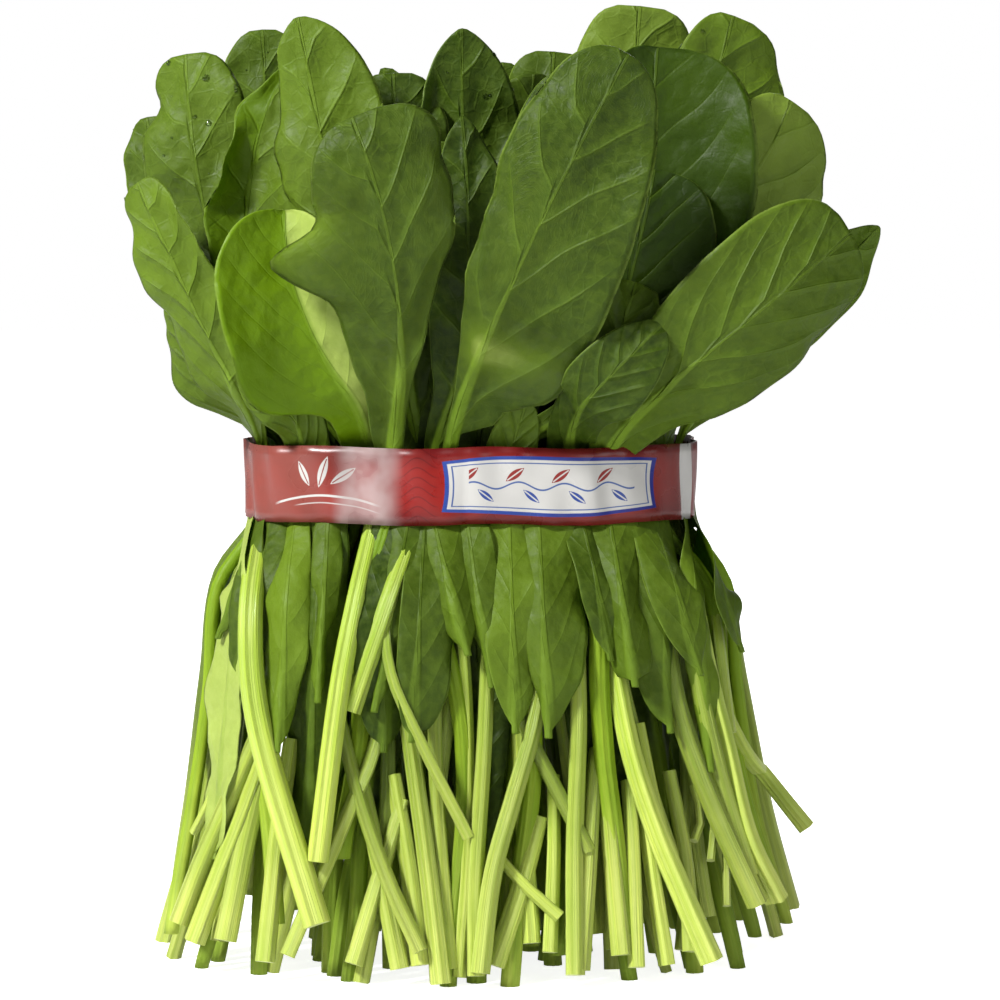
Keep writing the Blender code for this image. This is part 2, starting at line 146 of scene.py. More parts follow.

# How single leaves differ from the rest. left and right: how far that edge curls towards the viewer, in
# degrees, or (degrees, middle along the blade, reach); hinge: where across the blade the curl begins; wave:
# how wavy; flip: the inner face shows, all over or on one side; curl: how far the tip bends over, mm; fold:
# how far both halves stand forward of the midrib, degrees; veins: how clearly they show;
# tone_and_painted_light: 0 dark, 1 light, 2 pale, the leaf's own tone with painted light and shade in it;
# painted_light_spots: lighter or darker spots of painted highlight and painted shade, each its share, place
# across, length, width and amount; blade: the heights where the blade starts and ends, mm. A leaf with a rib
# instead is free above the tie: rib is the x of its midrib at the tie and at the tip and how far it bows,
# depth the same for its y, top the height of its tip, all in mm; yaw the way it faces at the tie and at its
# tip, 0 front and 90 right.
# sides: how wide it is left and right of the midrib, mm, each with the share where that side is fullest;
# neck: the share below that, where it is all stem; blunt: low for a round tip, high for a pointed one; lobe:
# a rounded part that stands out of the left side, its share, length and width.
FINISH = {
    "front_left": dict(
        rib=(-22, -31, 6), depth=(-41, -70, -7), top=210, sides=((17, 0.64), (20, 0.84)), neck=0.05,
        blunt=0.35, lobe=(0.60, 0.09, 14), left=(-30, 0.70, 0.16), right=(-30, 0.8, 0.3), hinge=0.3,
        wave=0.9, tone_and_painted_light=0.28, curl=-3,
        painted_light_spots=((0.68, -0.9, 0.12, 0.4, 0.8), (0.2, 0.0, 0.12, 0.8, 0.4), (0.5, 0.9, 0.3, 0.3, 0.2))
    ),
    "front_right": dict(
        rib=(-10, 35, -2), depth=(-41, -68, -13), top=225, sides=((16, 0.74), (24, 0.40)), neck=0.10,
        blunt=0.4, left=(-20, 0.5, 0.5), right=(26, 0.75, 0.3), hinge=0.1, wave=0.8, tone_and_painted_light=0.18, yaw=(0, 8),
        painted_light_spots=((0.26, 0.0, 0.05, 0.7, 1.4), (0.45, -0.3, 0.2, 0.5, 0.15), (0.95, 0.2, 0.1, 0.6, -0.1))
    ),
    "right_wide": dict(
        rib=(29, 90, -2), depth=(-41, -49, -13), top=182, sides=((19, 0.70), (19, 0.68)), neck=0.06,
        blunt=0.3, left=10, right=-22, hinge=0.2, wave=0.8, tone_and_painted_light=0.5, yaw=(10, 26)
    ),
    "left_long": dict(
        rib=(-55, -85, 0), depth=(-24, -35, -8), top=195, sides=((12, 0.55), (9, 0.60)), blunt=0.3,
        left=-18, right=22, wave=0.7, tone_and_painted_light=0.85, yaw=(-34, -30)
    ),
    "left_lower": dict(
        rib=(-54, -77, -3), depth=(-20, -29, -4), top=167, sides=((11, 0.50), (13, 0.50)), blunt=0.6,
        left=-20, right=10, wave=0.9, tone_and_painted_light=0.7, yaw=(-30, -30)
    ),
    "low_left": dict(
        rib=(-38, -60, 1), depth=(-36, -40, -3), top=148, sides=((7, 0.55), (10, 0.45)), blunt=0.6, left=24,
        right=-20, wave=1.4, tone_and_painted_light=0.7, yaw=(-12, -20), cup=4
    ),
    "cupped_left": dict(
        rib=(-22, -48, -7), depth=(-42, -48, -5), top=188, sides=((23, 0.52), (18, 0.58)), neck=0.03,
        left=16, right=10, hinge=0.1, fold=28, cup=6, wave=0.4, flip="left", tone_and_painted_light=1.65, veins=0.3,
        yaw=(-6, -6)
    ),
    "left_edge_on": dict(
        rib=(-37, -47, -16), depth=(-30, -30, -4), top=225, sides=((10, 0.55), (19, 0.60)), neck=0.08,
        blunt=0.8, left=14, right=-26, hinge=0.1, fold=26, cup=8, wave=1.6, flip="left", tone_and_painted_light=0.6,
        yaw=(-8, -8)
    ),
    "left_shiny": dict(
        rib=(-52, -74, -4), depth=(-20, -22, -6), top=227, sides=((14, 0.66), (15, 0.72)), neck=0.05,
        blunt=0.3, left=-20, right=-26, wave=1.5, tone_and_painted_light=0.6, yaw=(-18, -20)
    ),
    "left_tall": dict(
        rib=(-27, -45, 1), depth=(-36, -44, -6), top=235, sides=((13, 0.60), (17, 0.70)), neck=0.08,
        blunt=0.6, left=-30, right=20, hinge=0.1, wave=0.9, tone_and_painted_light=0.7, yaw=(-4, -4)
    ),
    "middle_left": dict(
        rib=(-18, -22, 0), depth=(-33, -30, -3), top=222, sides=((13, 0.75), (13, 0.75)), blunt=0.3,
        wave=1.2, tone_and_painted_light=0.1
    ),
    "middle_tall": dict(
        rib=(-8, -6, 2), depth=(-34, -27, -2), top=232, sides=((13, 0.68), (15, 0.72)), neck=0.05,
        blunt=0.7, left=(40, 0.8, 0.3), right=(20, 0.7, 0.3), hinge=0.2, wave=0.9, curl=6, tone_and_painted_light=0.16,
        yaw=(0, 10), cup=-6
    ),
    "middle_deep": dict(
        rib=(-8, -5, 3), depth=(-38, -46, -7), top=211, sides=((10, 0.55), (11, 0.55)), blunt=0.7, wave=0.9,
        tone_and_painted_light=0.0
    ),
    "right_bright": dict(
        rib=(19, 43, 4), depth=(-37, -37, -5), top=228, sides=((16, 0.68), (30, 0.64)), neck=0.10,
        blunt=0.35, left=8, right=22, wave=0.3, flip=True, tone_and_painted_light=0.12, cup=14, fold=10, yaw=(8, 8), veins=0.4
    ),
    "right_dark": dict(
        rib=(22, 42, 2), depth=(-39, -44, -6), top=198, sides=((14, 0.70), (19, 0.70)), blunt=0.35, left=8,
        right=26, wave=0.6, flip=True, tone_and_painted_light=0.06, cup=14, yaw=(6, 6)
    ),
    "middle_small": dict(
        rib=(24, 38, 0), depth=(-41, -52, -7), top=172, sides=((9, 0.65), (9, 0.70)), blunt=0.5, left=20,
        right=30, wave=1.6, tone_and_painted_light=0.3, curl=-5
    ),
    "right_lower": dict(
        rib=(15, 44, -1), depth=(-42, -58, -9), top=161, sides=((9, 0.50), (11, 0.45)), blunt=0.6, wave=0.9,
        tone_and_painted_light=0.1, yaw=(0, 10)
    ),
    "right_upper": dict(
        rib=(39, 77, -2), depth=(-24, -28, -5), top=215, sides=((15, 0.66), (22, 0.68)), blunt=0.35,
        left=-10, right=-16, wave=1.0, tone_and_painted_light=1.16, yaw=(18, 26)
    ),
    "right_top": dict(
        rib=(32, 63, 0), depth=(-18, -14, -5), top=237, sides=((13, 0.66), (20, 0.76)), blunt=0.35,
        left=-16, right=-14, wave=1.0, tone_and_painted_light=0.8, yaw=(10, 14)
    ),
    "top_right": dict(
        rib=(22, 40, 2), depth=(-10, -3, 0), top=240, sides=((16, 0.76), (17, 0.78)), blunt=0.3, wave=1.2,
        tone_and_painted_light=1.12, yaw=(4, 4)
    ),
    "left_back_top": dict(
        rib=(-47, -56, -1), depth=(-8, -4, -1), top=234, sides=((12, 0.72), (12, 0.72)), blunt=0.35,
        wave=1.2, tone_and_painted_light=0.35, yaw=(-4, -4)
    ),
    "right_far": dict(
        rib=(47, 100, 0), depth=(-14, -15, -4), top=184, sides=((10, 0.60), (10, 0.60)), blunt=0.7, left=20,
        right=10, wave=1.0, tone_and_painted_light=0.6, yaw=(20, 24)
    ),
    "left_under": dict(blade=(96, 137), half=7, tone_and_painted_light=0.3),
    "right_under": dict(blade=(98, 152), half=8, tone_and_painted_light=0.3),
    "middle_under": dict(blade=(102, 155), half=7, tone_and_painted_light=0.2),
    "low_middle": dict(blade=(96, 141), half=7, tone_and_painted_light=0.5),
    "low_right": dict(blade=(100, 143), half=9, tone_and_painted_light=0.4),
    "far_left": dict(
        rib=(-57, -86, -4), depth=(-8, 2, 0), top=212, sides=((9, 0.70), (10, 0.70)), blunt=0.4,
        yaw=(-20, -20)
    ),
    "middle_right": dict(
        rib=(9, 18, 0), depth=(-26, -14, -2), top=228, sides=((13, 0.76), (13, 0.76)), blunt=0.3
    ),
    "middle_back": dict(
        rib=(2, 5, 0), depth=(-8, 2, 0), top=226, sides=((10, 0.70), (10, 0.70)), blunt=0.4
    ),
    "heart_one": dict(cup=-30),
    "heart_two": dict(cup=-30),
}


def smooth(f):
    f = np.clip(f, 0.0, 1.0)
    return f * f * (3 - 2 * f)


def along(places, values, at):
    """A smooth curve through the values, straight on beyond its ends."""
    places, values = np.asarray(places, float), np.asarray(values, float)
    at = np.asarray(at, float)
    last = len(places) - 1
    before, after = np.maximum(np.arange(last + 1) - 1, 0), np.minimum(np.arange(last + 1) + 1, last)
    slopes = (values[after] - values[before]) / (places[after] - places[before])
    k = np.clip(np.searchsorted(places, at, side="right") - 1, 0, last - 1)
    step = places[k + 1] - places[k]
    f = (at - places[k]) / step
    a, b = slopes[k] * step, slopes[k + 1] * step
    rise = values[k + 1] - values[k]
    inside = values[k] + f * (a + f * ((3 * rise - 2 * a - b) + f * (a + b - 2 * rise)))
    end = np.where(f < 0.0, k, k + 1)
    beyond = values[end] + slopes[end] * (at - places[end])
    return np.where((f < 0.0) | (f > 1.0), beyond, inside)


def outline(steps=1440):
    """The rounded outline that every shell shares, half as wide as 1, and the length up to each corner."""
    turn = np.linspace(0, 2 * math.pi, steps + 1)
    s, c = np.sin(turn), np.cos(turn)
    x = np.sign(s) * np.abs(s) ** (2 / ROUNDNESS)
    y = -DEPTH * np.sign(c) * np.abs(c) ** (2 / ROUNDNESS)
    length = np.concatenate(([0.0], np.cumsum(np.hypot(np.diff(x), np.diff(y)))))
    return x, y, length


OUTLINE_X, OUTLINE_Y, OUTLINE_LENGTH = outline()
ROUND = OUTLINE_LENGTH[-1]


def shell_radius(shell, height):
    inside = along(HEIGHTS, INNER, height)
    return inside + (along(HEIGHTS, OUTER, height) - inside) * shell / OUTER_SHELL


def in_bunch(percent, height, radius):
    reach = (np.asarray(percent) / 100 % 1.0) * ROUND
    x = np.interp(reach, OUTLINE_LENGTH, OUTLINE_X)
    y = np.interp(reach, OUTLINE_LENGTH, OUTLINE_Y)
    return np.stack([x * radius, y * radius, height + 0 * x], axis=-1) - OFFSET


class Leaf:
    """One leaf as a grid of points: rows from the cut end to the tip, columns from edge to edge."""

    def __init__(
        self, neighbours, shell, foot, places, half, blade=None, cup=-12, twist=0, lean=0, sway=0,
        left=0, right=0, hinge=0.42, wave=1.0, flip=False, curl=0, tone_and_painted_light=None, fold=0, painted_light_spots=(),
        rib=None, depth=(0, 0, 0), top=0, yaw=(0, 0), sides=None, neck=0.0, blunt=0.45, lobe=None,
        line=None, veins=1.0, stout=None, seed=0
    ):
        self.neighbours = neighbours
        self.shell, self.crown = shell
        self.foot = foot * MM
        self.start, self.tip = (TIE_HEIGHT, top * MM) if blade is None else (blade[0] * MM, blade[1] * MM)
        at_foot, at_tie, at_tip = places
        bend = (SWAY_HEIGHT - self.foot) / (TIE_HEIGHT - self.foot)
        self.heights = [self.foot, SWAY_HEIGHT, TIE_HEIGHT, self.tip]
        self.places = [at_foot, at_foot + (at_tie - at_foot) * bend + sway, at_tie, at_tip]
        self.wide, self.lean, self.curl = half * MM, lean * MM, curl * MM
        self.cup, self.twist, self.fold = math.radians(cup), math.radians(twist), math.radians(fold)
        self.left, self.right, self.hinge, self.flip = left, right, hinge, flip
        self.sides, self.neck, self.blunt, self.lobe = sides, neck, blunt, lobe
        self.rib, self.depth, self.yaw = rib, depth, np.radians(yaw)
        self.line = None if line is None else np.array(line, float).T * MM
        ripe = BROADER / (BROADER + BLUNT)
        self.fullest = ripe ** BROADER * (1 - ripe) ** BLUNT
        self.wave, self.painted_light_spots, self.veins = wave, painted_light_spots, veins
        chance = random.Random(seed)
        # a filled leaf's tone is random; a given one also holds painted light and shade
        self.tone_and_painted_light = chance.uniform(0.25, 0.75) if tone_and_painted_light is None else tone_and_painted_light
        self.stout = chance.uniform(0.78, 1.0) if stout is None else stout
        self.phase = [chance.uniform(0, 2 * math.pi) for _ in range(7)]

    def radius(self, height):
        moved = smooth((height - CROWN_FROM) / CROWN_OVER)
        return shell_radius(self.shell + (self.crown - self.shell) * moved, height)

    def blade_share(self, height):
        return np.clip((height - self.start) / (self.tip - self.start), 0.0, 1.0)

    def stalk(self, height):
        return 1 - (1 - RIB_AT_TIP) * self.blade_share(height)

    def side(self, share, wide, fullest):
        """How wide one side of the blade is."""
        above_neck = np.clip((share - self.neck) / (1 - self.neck), 0.0, 1.0)
        at = (fullest - self.neck) / (1 - self.neck)
        power = self.blunt * at / (1 - at)
        most = at ** power * (1 - at) ** self.blunt
        return wide * MM * above_neck ** power * (1 - above_neck) ** self.blunt / most

    def half_widths(self, height):
        """From the midrib to the left and to the right edge."""
        share = self.blade_share(height)
        crown = smooth((height - CROWN_FROM) / CROWN_OVER)
        if self.sides is None:
            blade = self.wide * share ** BROADER * (1 - share) ** BLUNT / self.fullest
            left, right, spread = blade, blade, ROOM_IN_CROWN
        else:
            left, right = (self.side(share, *side) for side in self.sides)
            spread = 3 * ROOM_IN_CROWN
        if self.lobe is not None:
            at, long, wide = self.lobe
            left = left + wide * MM * np.exp(-((share - at) / long) ** 2)
        room = (ROOM + spread * crown) * ROUND * self.radius(height) / self.neighbours
        stalk = self.stout * STALK_WIDE * self.stalk(height)
        stalk = stalk * np.where(share > 0.0, (1 - share) ** BLUNT, 1.0)
        return tuple(np.hypot(side * room / (side ** 4 + room ** 4) ** 0.25, stalk) for side in (left, right))

    def reach(self, height, v):
        """Distance from the midrib on the blade's surface; v is -1 at the left edge, 1 at the right."""
        left, right = self.half_widths(height)
        return v * np.where(v < 0, left[:, None], right[:, None])

    def rows(self):
        count = max(int((self.start - self.foot) / STALK_STEP), 4)
        stalk = np.linspace(self.foot, self.start, count, endpoint=False)
        share = np.linspace(0.0, 1.0, BLADE_ROWS, endpoint=False)
        share = share + 0.16 * np.sin(math.pi * share) * share  # closer rows towards the tip
        share = share / share[-1] * 0.9965
        return np.concatenate((stalk, self.start + (self.tip - self.start) * share))

    def columns(self, height):
        """Where the columns stand, -1 to 1: crowded at the sides of a round stem, even on a blade."""
        t = np.linspace(-1, 1, COLUMNS)
        flat = smooth(self.blade_share(height) * 5)[:, None]
        return np.sin(t * math.pi / 2)[None, :] * (1 - flat) + t[None, :] * flat

    def middle(self, height, v):
        """The middle of the thickness, with the cup, twist and curled edges of the blade."""
        nudge = 0.5 * MM
        place = along(self.heights, self.places, height)
        drift = (along(self.heights, self.places, height + nudge) - place) / nudge
        drift = drift * ROUND / 100 * self.radius(height)
        rise = 1 / np.hypot(1, drift)
        free = smooth((height - FREE_FROM) / FREE_OVER)[:, None]
        loose, folded = free, free
        if self.line is not None:
            loose, folded = 1.0, 1 - smooth((height - HANG_FLAT) / HANG_FLAT_OVER)[:, None]
        twist = self.twist * free
        share = self.blade_share(height)[:, None]
        edge = smooth((np.abs(v) - self.hinge) / (1 - self.hinge))
        edge = edge * smooth(share * 3.2) * smooth((1 - share) * 6)
        curl = np.where(v < 0, -self.edge_turn(self.left, share), self.edge_turn(self.right, share)) * edge
        angle = twist + loose * (self.cup * v + curl) + folded * self.fold * np.tanh(v * 7)
        steps = np.diff(self.reach(height, v), axis=1)
        mean = (angle[:, 1:] + angle[:, :-1]) / 2

        def from_midrib(steps):
            total = np.concatenate((np.zeros((len(height), 1)), np.cumsum(steps, axis=1)), axis=1)
            return total - total[:, COLUMNS // 2, None]

        side, out = from_midrib(steps * np.cos(mean)), from_midrib(steps * np.sin(mean))
        half = np.maximum(*self.half_widths(height))[:, None]
        out = out + half * np.maximum(np.abs(np.sin(twist)) - EASY_TWIST, 0.0)
        above = np.maximum(height - FREE_FROM, 0.0) / max(self.tip - FREE_FROM, MM)
        out = out + (self.lean * above ** 2 + self.curl * np.maximum(above - 0.72, 0) ** 2 * 12)[:, None]
        stem = (1 - smooth(self.blade_share(height) * 3)) * smooth((height - self.foot) / (30 * MM))
        aside, off = (
            (stem * far * MM * np.sin(height / (long * MM) + start))[:, None]
            for (far, long), start in zip(STEM_BENDS, self.phase)
        )
        side, out = side + aside, out + off
        if self.line is not None:
            return self.on_line(height, side, out)
        z = height[:, None] - side * (drift * rise)[:, None]
        radius = self.radius(z)
        places = place[:, None] + side * rise[:, None] / (ROUND * radius) * 100
        points = in_bunch(places, z, radius + out)
        if self.rib is None:
            return points
        above = smooth((height - TIE_HEIGHT - 3 * MM) / (14 * MM))[:, None, None]
        return points + (self.on_path(height, side, out) - points) * above

    def on_line(self, height, side, out):
        """The same spots on a blade that lies over the front of the bunch."""
        heights, across, off = self.line

        def spine(z):
            x = along(heights, across, z)
            return np.stack((x, front_of_bunch(x, z, along(heights, off, z)), z), axis=-1)

        middle = spine(height)
        share = np.clip((middle[:, 0] + OFFSET[0]) / shell_radius(OUTER_SHELL, height), -0.99, 0.99)
        depth = (1 - np.abs(share) ** ROUNDNESS) ** (2 / ROUNDNESS)
        near_tie = smooth((height - self.start) / (self.tip - self.start))
        yaw = 0.75 * np.arctan2(np.sign(share) * share ** 2, depth / DEPTH) + self.yaw[1] * (1 - near_tie)
        return self.spread(middle, spine(height + 0.5 * MM) - middle, yaw, side, out)

    def spread(self, spine, tangent, yaw, side, out):
        """Points at these distances beside the spine and out of it."""
        facing = np.stack((np.sin(yaw), -np.cos(yaw), 0 * yaw), axis=-1)
        over = np.cross(tangent, facing)
        over /= np.linalg.norm(over, axis=-1, keepdims=True)
        facing = np.cross(over, tangent)
        facing /= np.linalg.norm(facing, axis=-1, keepdims=True)
        return spine[:, None] + side[..., None] * over[:, None] + out[..., None] * facing[:, None]

    def on_path(self, height, side, out):
        """The same spots on a blade whose midrib takes its own path above the tie."""
        run = np.clip((height - TIE_HEIGHT) / (self.tip - TIE_HEIGHT), 0.0, 1.0)

        def midrib(run):
            x, y = (a + (b - a) * run + 4 * bow * run * (1 - run) for a, b, bow in (self.rib, self.depth))
            return np.stack((x * MM, y * MM, LEAVES_TIE + (self.tip - LEAVES_TIE) * run), axis=-1)

        spine = midrib(run)
        yaw = self.yaw[0] + (self.yaw[1] - self.yaw[0]) * run
        return self.spread(spine, midrib(run + 0.01) - spine, yaw, side, out)

    def tone_and_painted_light_at(self, height, v):
        """Its tone over the blade, with lighter and darker spots of painted highlight and painted shade."""
        share = self.blade_share(height)[:, None]
        tone_and_painted_light = self.tone_and_painted_light + 0 * v
        for at_share, at_v, long, wide, amount in self.painted_light_spots:
            tone_and_painted_light = tone_and_painted_light + amount * np.exp(-((share - at_share) / long) ** 2 - ((v - at_v) / wide) ** 2)
        return np.clip(tone_and_painted_light, 0.0, 2.0)

    def edge_turn(self, given, share):
        """How far an edge curls: one angle all along, or an angle with its middle and its reach."""
        if isinstance(given, tuple):
            angle, middle, reach = given
            return math.radians(angle) * np.exp(-((share - middle) / reach) ** 2)
        return math.radians(given) + 0 * share

    def across(self, height, v):
        """Distance from the midrib, in metres, and along the blade from where it starts."""
        return self.reach(height, v), (height - self.start)[:, None] + 0 * v

    def vein_phase(self, height, v):
        """Whole numbers of this fall on the side veins, which leave the midrib and bend up to the tip."""
        x, y = self.across(height, v)
        apart = (self.tip - self.start) / (8.5 if self.sides is None else 6.2)
        side = np.where(v < 0, 0.0, 0.46)
        lift = 1.15 * np.abs(x) + 0.35 * np.abs(x) ** 2 / max(self.wide, MM)
        wander = 0.10 * np.sin(x * 260 + self.phase[4]) + 0.08 * np.sin(y * 120 + self.phase[5])
        return (y - lift) / apart + side + wander * np.minimum(np.abs(v) * 3, 1)

    def relief(self, height, v):
        """How far the blade's middle stands off, towards the outer face: waves, puckers and crumples."""
        share = self.blade_share(height)[:, None]
        x, y = self.across(height, v)
        blade = smooth(share * 6) * smooth((1 - share) * 9)
        held = 0.75 if self.line is not None else 0.35
        loose = (held + (1 - held) * smooth((height - FREE_FROM) / FREE_OVER))[:, None]
        a, b, c, d, e, f, g = self.phase
        edge = np.abs(v) ** 2.2
        side = np.where(v < 0, a, b)
        waves = EDGE_WAVE * self.wave * edge * np.sin(y * 2 * math.pi / EDGE_WAVE_LONG + side)
        ripples = EDGE_RIPPLE * self.wave * edge * np.sin(y * 2 * math.pi / EDGE_RIPPLE_LONG + side * 2 + c)
        pillow = 0.5 - 0.5 * np.cos(2 * math.pi * self.vein_phase(height, v))
        puckers = -PUCKER * self.veins * pillow * smooth(np.abs(v) * 4) * smooth((1 - np.abs(v)) * 2.5)
        broad = BROAD_WAVE * np.sin(y * 2 * math.pi / BROAD_LONG + d)
        broad = broad * np.sin(x * 2 * math.pi / BROAD_ACROSS + e) * self.wave
        small = CRUMPLE * np.sin(y / (2.3 * MM) + 3 * np.sin(x / (5 * MM) + f))
        small = small * np.sin(x / (2.1 * MM) + 2 * np.sin(y / (6 * MM) + g))
        ridge = RIDGE * np.exp(-(x / RIDGE_REACH) ** 2)
        return blade * loose * (waves + ripples + puckers + broad + small + ridge)

    def thickness(self, height, v):
        """Half of the thickness towards the outer face, with its ridge, and towards the grooved inner one."""
        stalk = (self.stout * self.stalk(height))[:, None]
        side = self.reach(height, v) / (STALK_WIDE * stalk)
        rib = STALK_THICK * stalk * np.sqrt(np.maximum(1 - side * side, 0.0))
        share = self.blade_share(height)[:, None]
        on_blade = smooth(share * 8)
        blade = BLADE_THICK * (1 - np.abs(v) ** 8) * np.minimum(share * 30, 1)
        ribs = 1 + (1 - on_blade) * 0.07 * np.cos(side * 11 + self.phase[6])
        groove = 1 - 0.42 * np.exp(-(side / 0.42) ** 2)
        sunk = 1 - 0.75 * on_blade
        fading = smooth(share * (2.6 if self.rib is not None else 1.6))
        outer = np.maximum(rib * ribs * (1 - 0.35 * on_blade) * (1 - 0.62 * fading), blade)
        inner = np.maximum(rib * groove * sunk, blade)
        return outer, inner


def grid_normals(points):
    up = np.gradient(points, axis=0)
    over = np.gradient(points, axis=1)
    normal = np.cross(over, up)
    return normal / np.maximum(np.linalg.norm(normal, axis=-1, keepdims=True), 1e-12)


def ring_faces(rows, around):
    low = (np.arange(rows - 1)[:, None] * around + np.arange(around)[None, :]).ravel()
    nxt = (np.arange(rows - 1)[:, None] * around + (np.arange(around)[None, :] + 1) % around).ravel()
    return np.stack([low, nxt, nxt + around, low + around], axis=1)


def added(name, data):
    """A new object in the scene."""
    made = bpy.data.objects.new(name, data)
    bpy.context.scene.collection.objects.link(made)
    return made


def mesh_from(name, points, quads, triangles, attributes, material):
    """A smooth mesh from arrays; attributes map a name to one vector for each point."""
    data = bpy.data.meshes.new(name)
    data.vertices.add(len(points))
    data.vertices.foreach_set("co", np.asarray(points, np.float32).ravel())
    loops = np.concatenate([quads.ravel(), triangles.ravel()]).astype(np.int32)
    data.loops.add(len(loops))
    data.loops.foreach_set("vertex_index", loops)
    sizes = np.concatenate([np.full(len(quads), 4), np.full(len(triangles), 3)])
    starts = np.concatenate([[0], np.cumsum(sizes)[:-1]]).astype(np.int32)
    data.polygons.add(len(sizes))
    data.polygons.foreach_set("loop_start", starts)
    for key, values in attributes.items():
        made = data.attributes.new(key, "FLOAT_VECTOR", "POINT")
        made.data.foreach_set("vector", np.asarray(values, np.float32).ravel())
    data.update(calc_edges=True)
    data.validate()
    data.shade_smooth()
    data.materials.append(material)
    return added(name, data)


def ringed(front, back):
    """Round the leaf: over its outer face from edge to edge, and back over the inner one."""
    return np.concatenate((front, back[:, -2:0:-1]), axis=1)


def build_leaf(name, leaf, material):
    """A closed leaf: two faces that meet at the edges, a tip, and a cut end with a sunk pith."""
    height = leaf.rows()
    v = leaf.columns(height)
    middle = leaf.middle(height, v)
    middle = middle + grid_normals(middle) * leaf.relief(height, v)[..., None]
    normal = grid_normals(middle)
    outer, inner = leaf.thickness(height, v)
    rings = ringed(middle + normal * outer[..., None], middle - normal * inner[..., None])
    rings[0, :, 2] = leaf.foot
    rows, around = rings.shape[:2]
    points = rings.reshape(-1, 3)

    zero = np.zeros_like(v)
    inside = {False: zero, True: zero + 1, "left": np.where(v <= 0, 1.0, 0.0)}[leaf.flip]
    x, y = leaf.across(height, v)
    faces = {
        "leaf_map": (x, y, leaf.blade_share(height)[:, None] + zero),
        "leaf_kind": (None, leaf.vein_phase(height, v), leaf.tone_and_painted_light_at(height, v)),
        "leaf_edge": (np.abs(v), height[:, None] + zero, zero),
    }
    which_face = ringed(1 - inside, inside)
    attributes = {}
    for key, layers in faces.items():
        layers = [which_face if layer is None else ringed(layer, layer) for layer in layers]
        attributes[key] = np.stack(layers, axis=-1).reshape(-1, 3)

    # the tip and the cut end: each further point takes what the mesh says at a point of the last or first row
    tip = leaf.middle(np.array([leaf.tip] * 2), v[-2:])[0, COLUMNS // 2]
    foot = rings[0].mean(axis=0)
    ends = [[points[-around:].mean(axis=0) * 0.4 + tip * 0.6]]
    ends += [foot + (rings[0] - foot) * scale + np.array((0, 0, sunk)) for scale, sunk in CUT_RINGS]
    ends += [[foot + np.array((0, 0, PITH_SUNK))]]
    first = np.arange(around)
    taken = np.concatenate(([-1], first, first, [0]))
    for key, values in attributes.items():
        attributes[key] = np.concatenate((values, values[taken]))
    attributes["leaf_edge"][len(points) + 1:, 2] = 1.0
    attributes["leaf_edge"][-1] = (0.0, leaf.foot, 2.0)
    top = len(points)
    points = np.concatenate((points, *ends))
    attributes["leaf_veins"] = np.full((len(points), 3), leaf.veins)

    following = (first + 1) % around
    last = (rows - 1) * around
    ring, small_ring, pith = top + 1, top + 1 + around, len(points) - 1
    cap = np.stack((
        following, first, ring + first, ring + following,
        ring + following, ring + first, small_ring + first, small_ring + following
    ), axis=1).reshape(-1, 4)
    triangles = np.concatenate((
        np.stack((last + first, last + following, top + 0 * first), axis=1),
        np.stack((small_ring + following, small_ring + first, pith + 0 * first), axis=1)
    ))
    quads = np.concatenate((ring_faces(rows, around), cap))
    return mesh_from(name, points, quads, triangles, attributes, material)


# ---------------------------------------------------------------------------------------------------------
# Materials
# ---------------------------------------------------------------------------------------------------------

class Value:
    """What a node gives, to be reckoned with like a number."""

    def __init__(self, shader, socket):
        self.shader, self.socket = shader, socket

    def __add__(self, other):
        return self.shader.math("ADD", self, other)

    def __sub__(self, other):
        return self.shader.math("SUBTRACT", self, other)

    def __rsub__(self, other):
        return self.shader.math("SUBTRACT", other, self)

    def __mul__(self, other):
        return self.shader.math("MULTIPLY", self, other)

    def __truediv__(self, other):
        return self.shader.math("DIVIDE", self, other)

    def __abs__(self):
        return self.shader.math("ABSOLUTE", self)


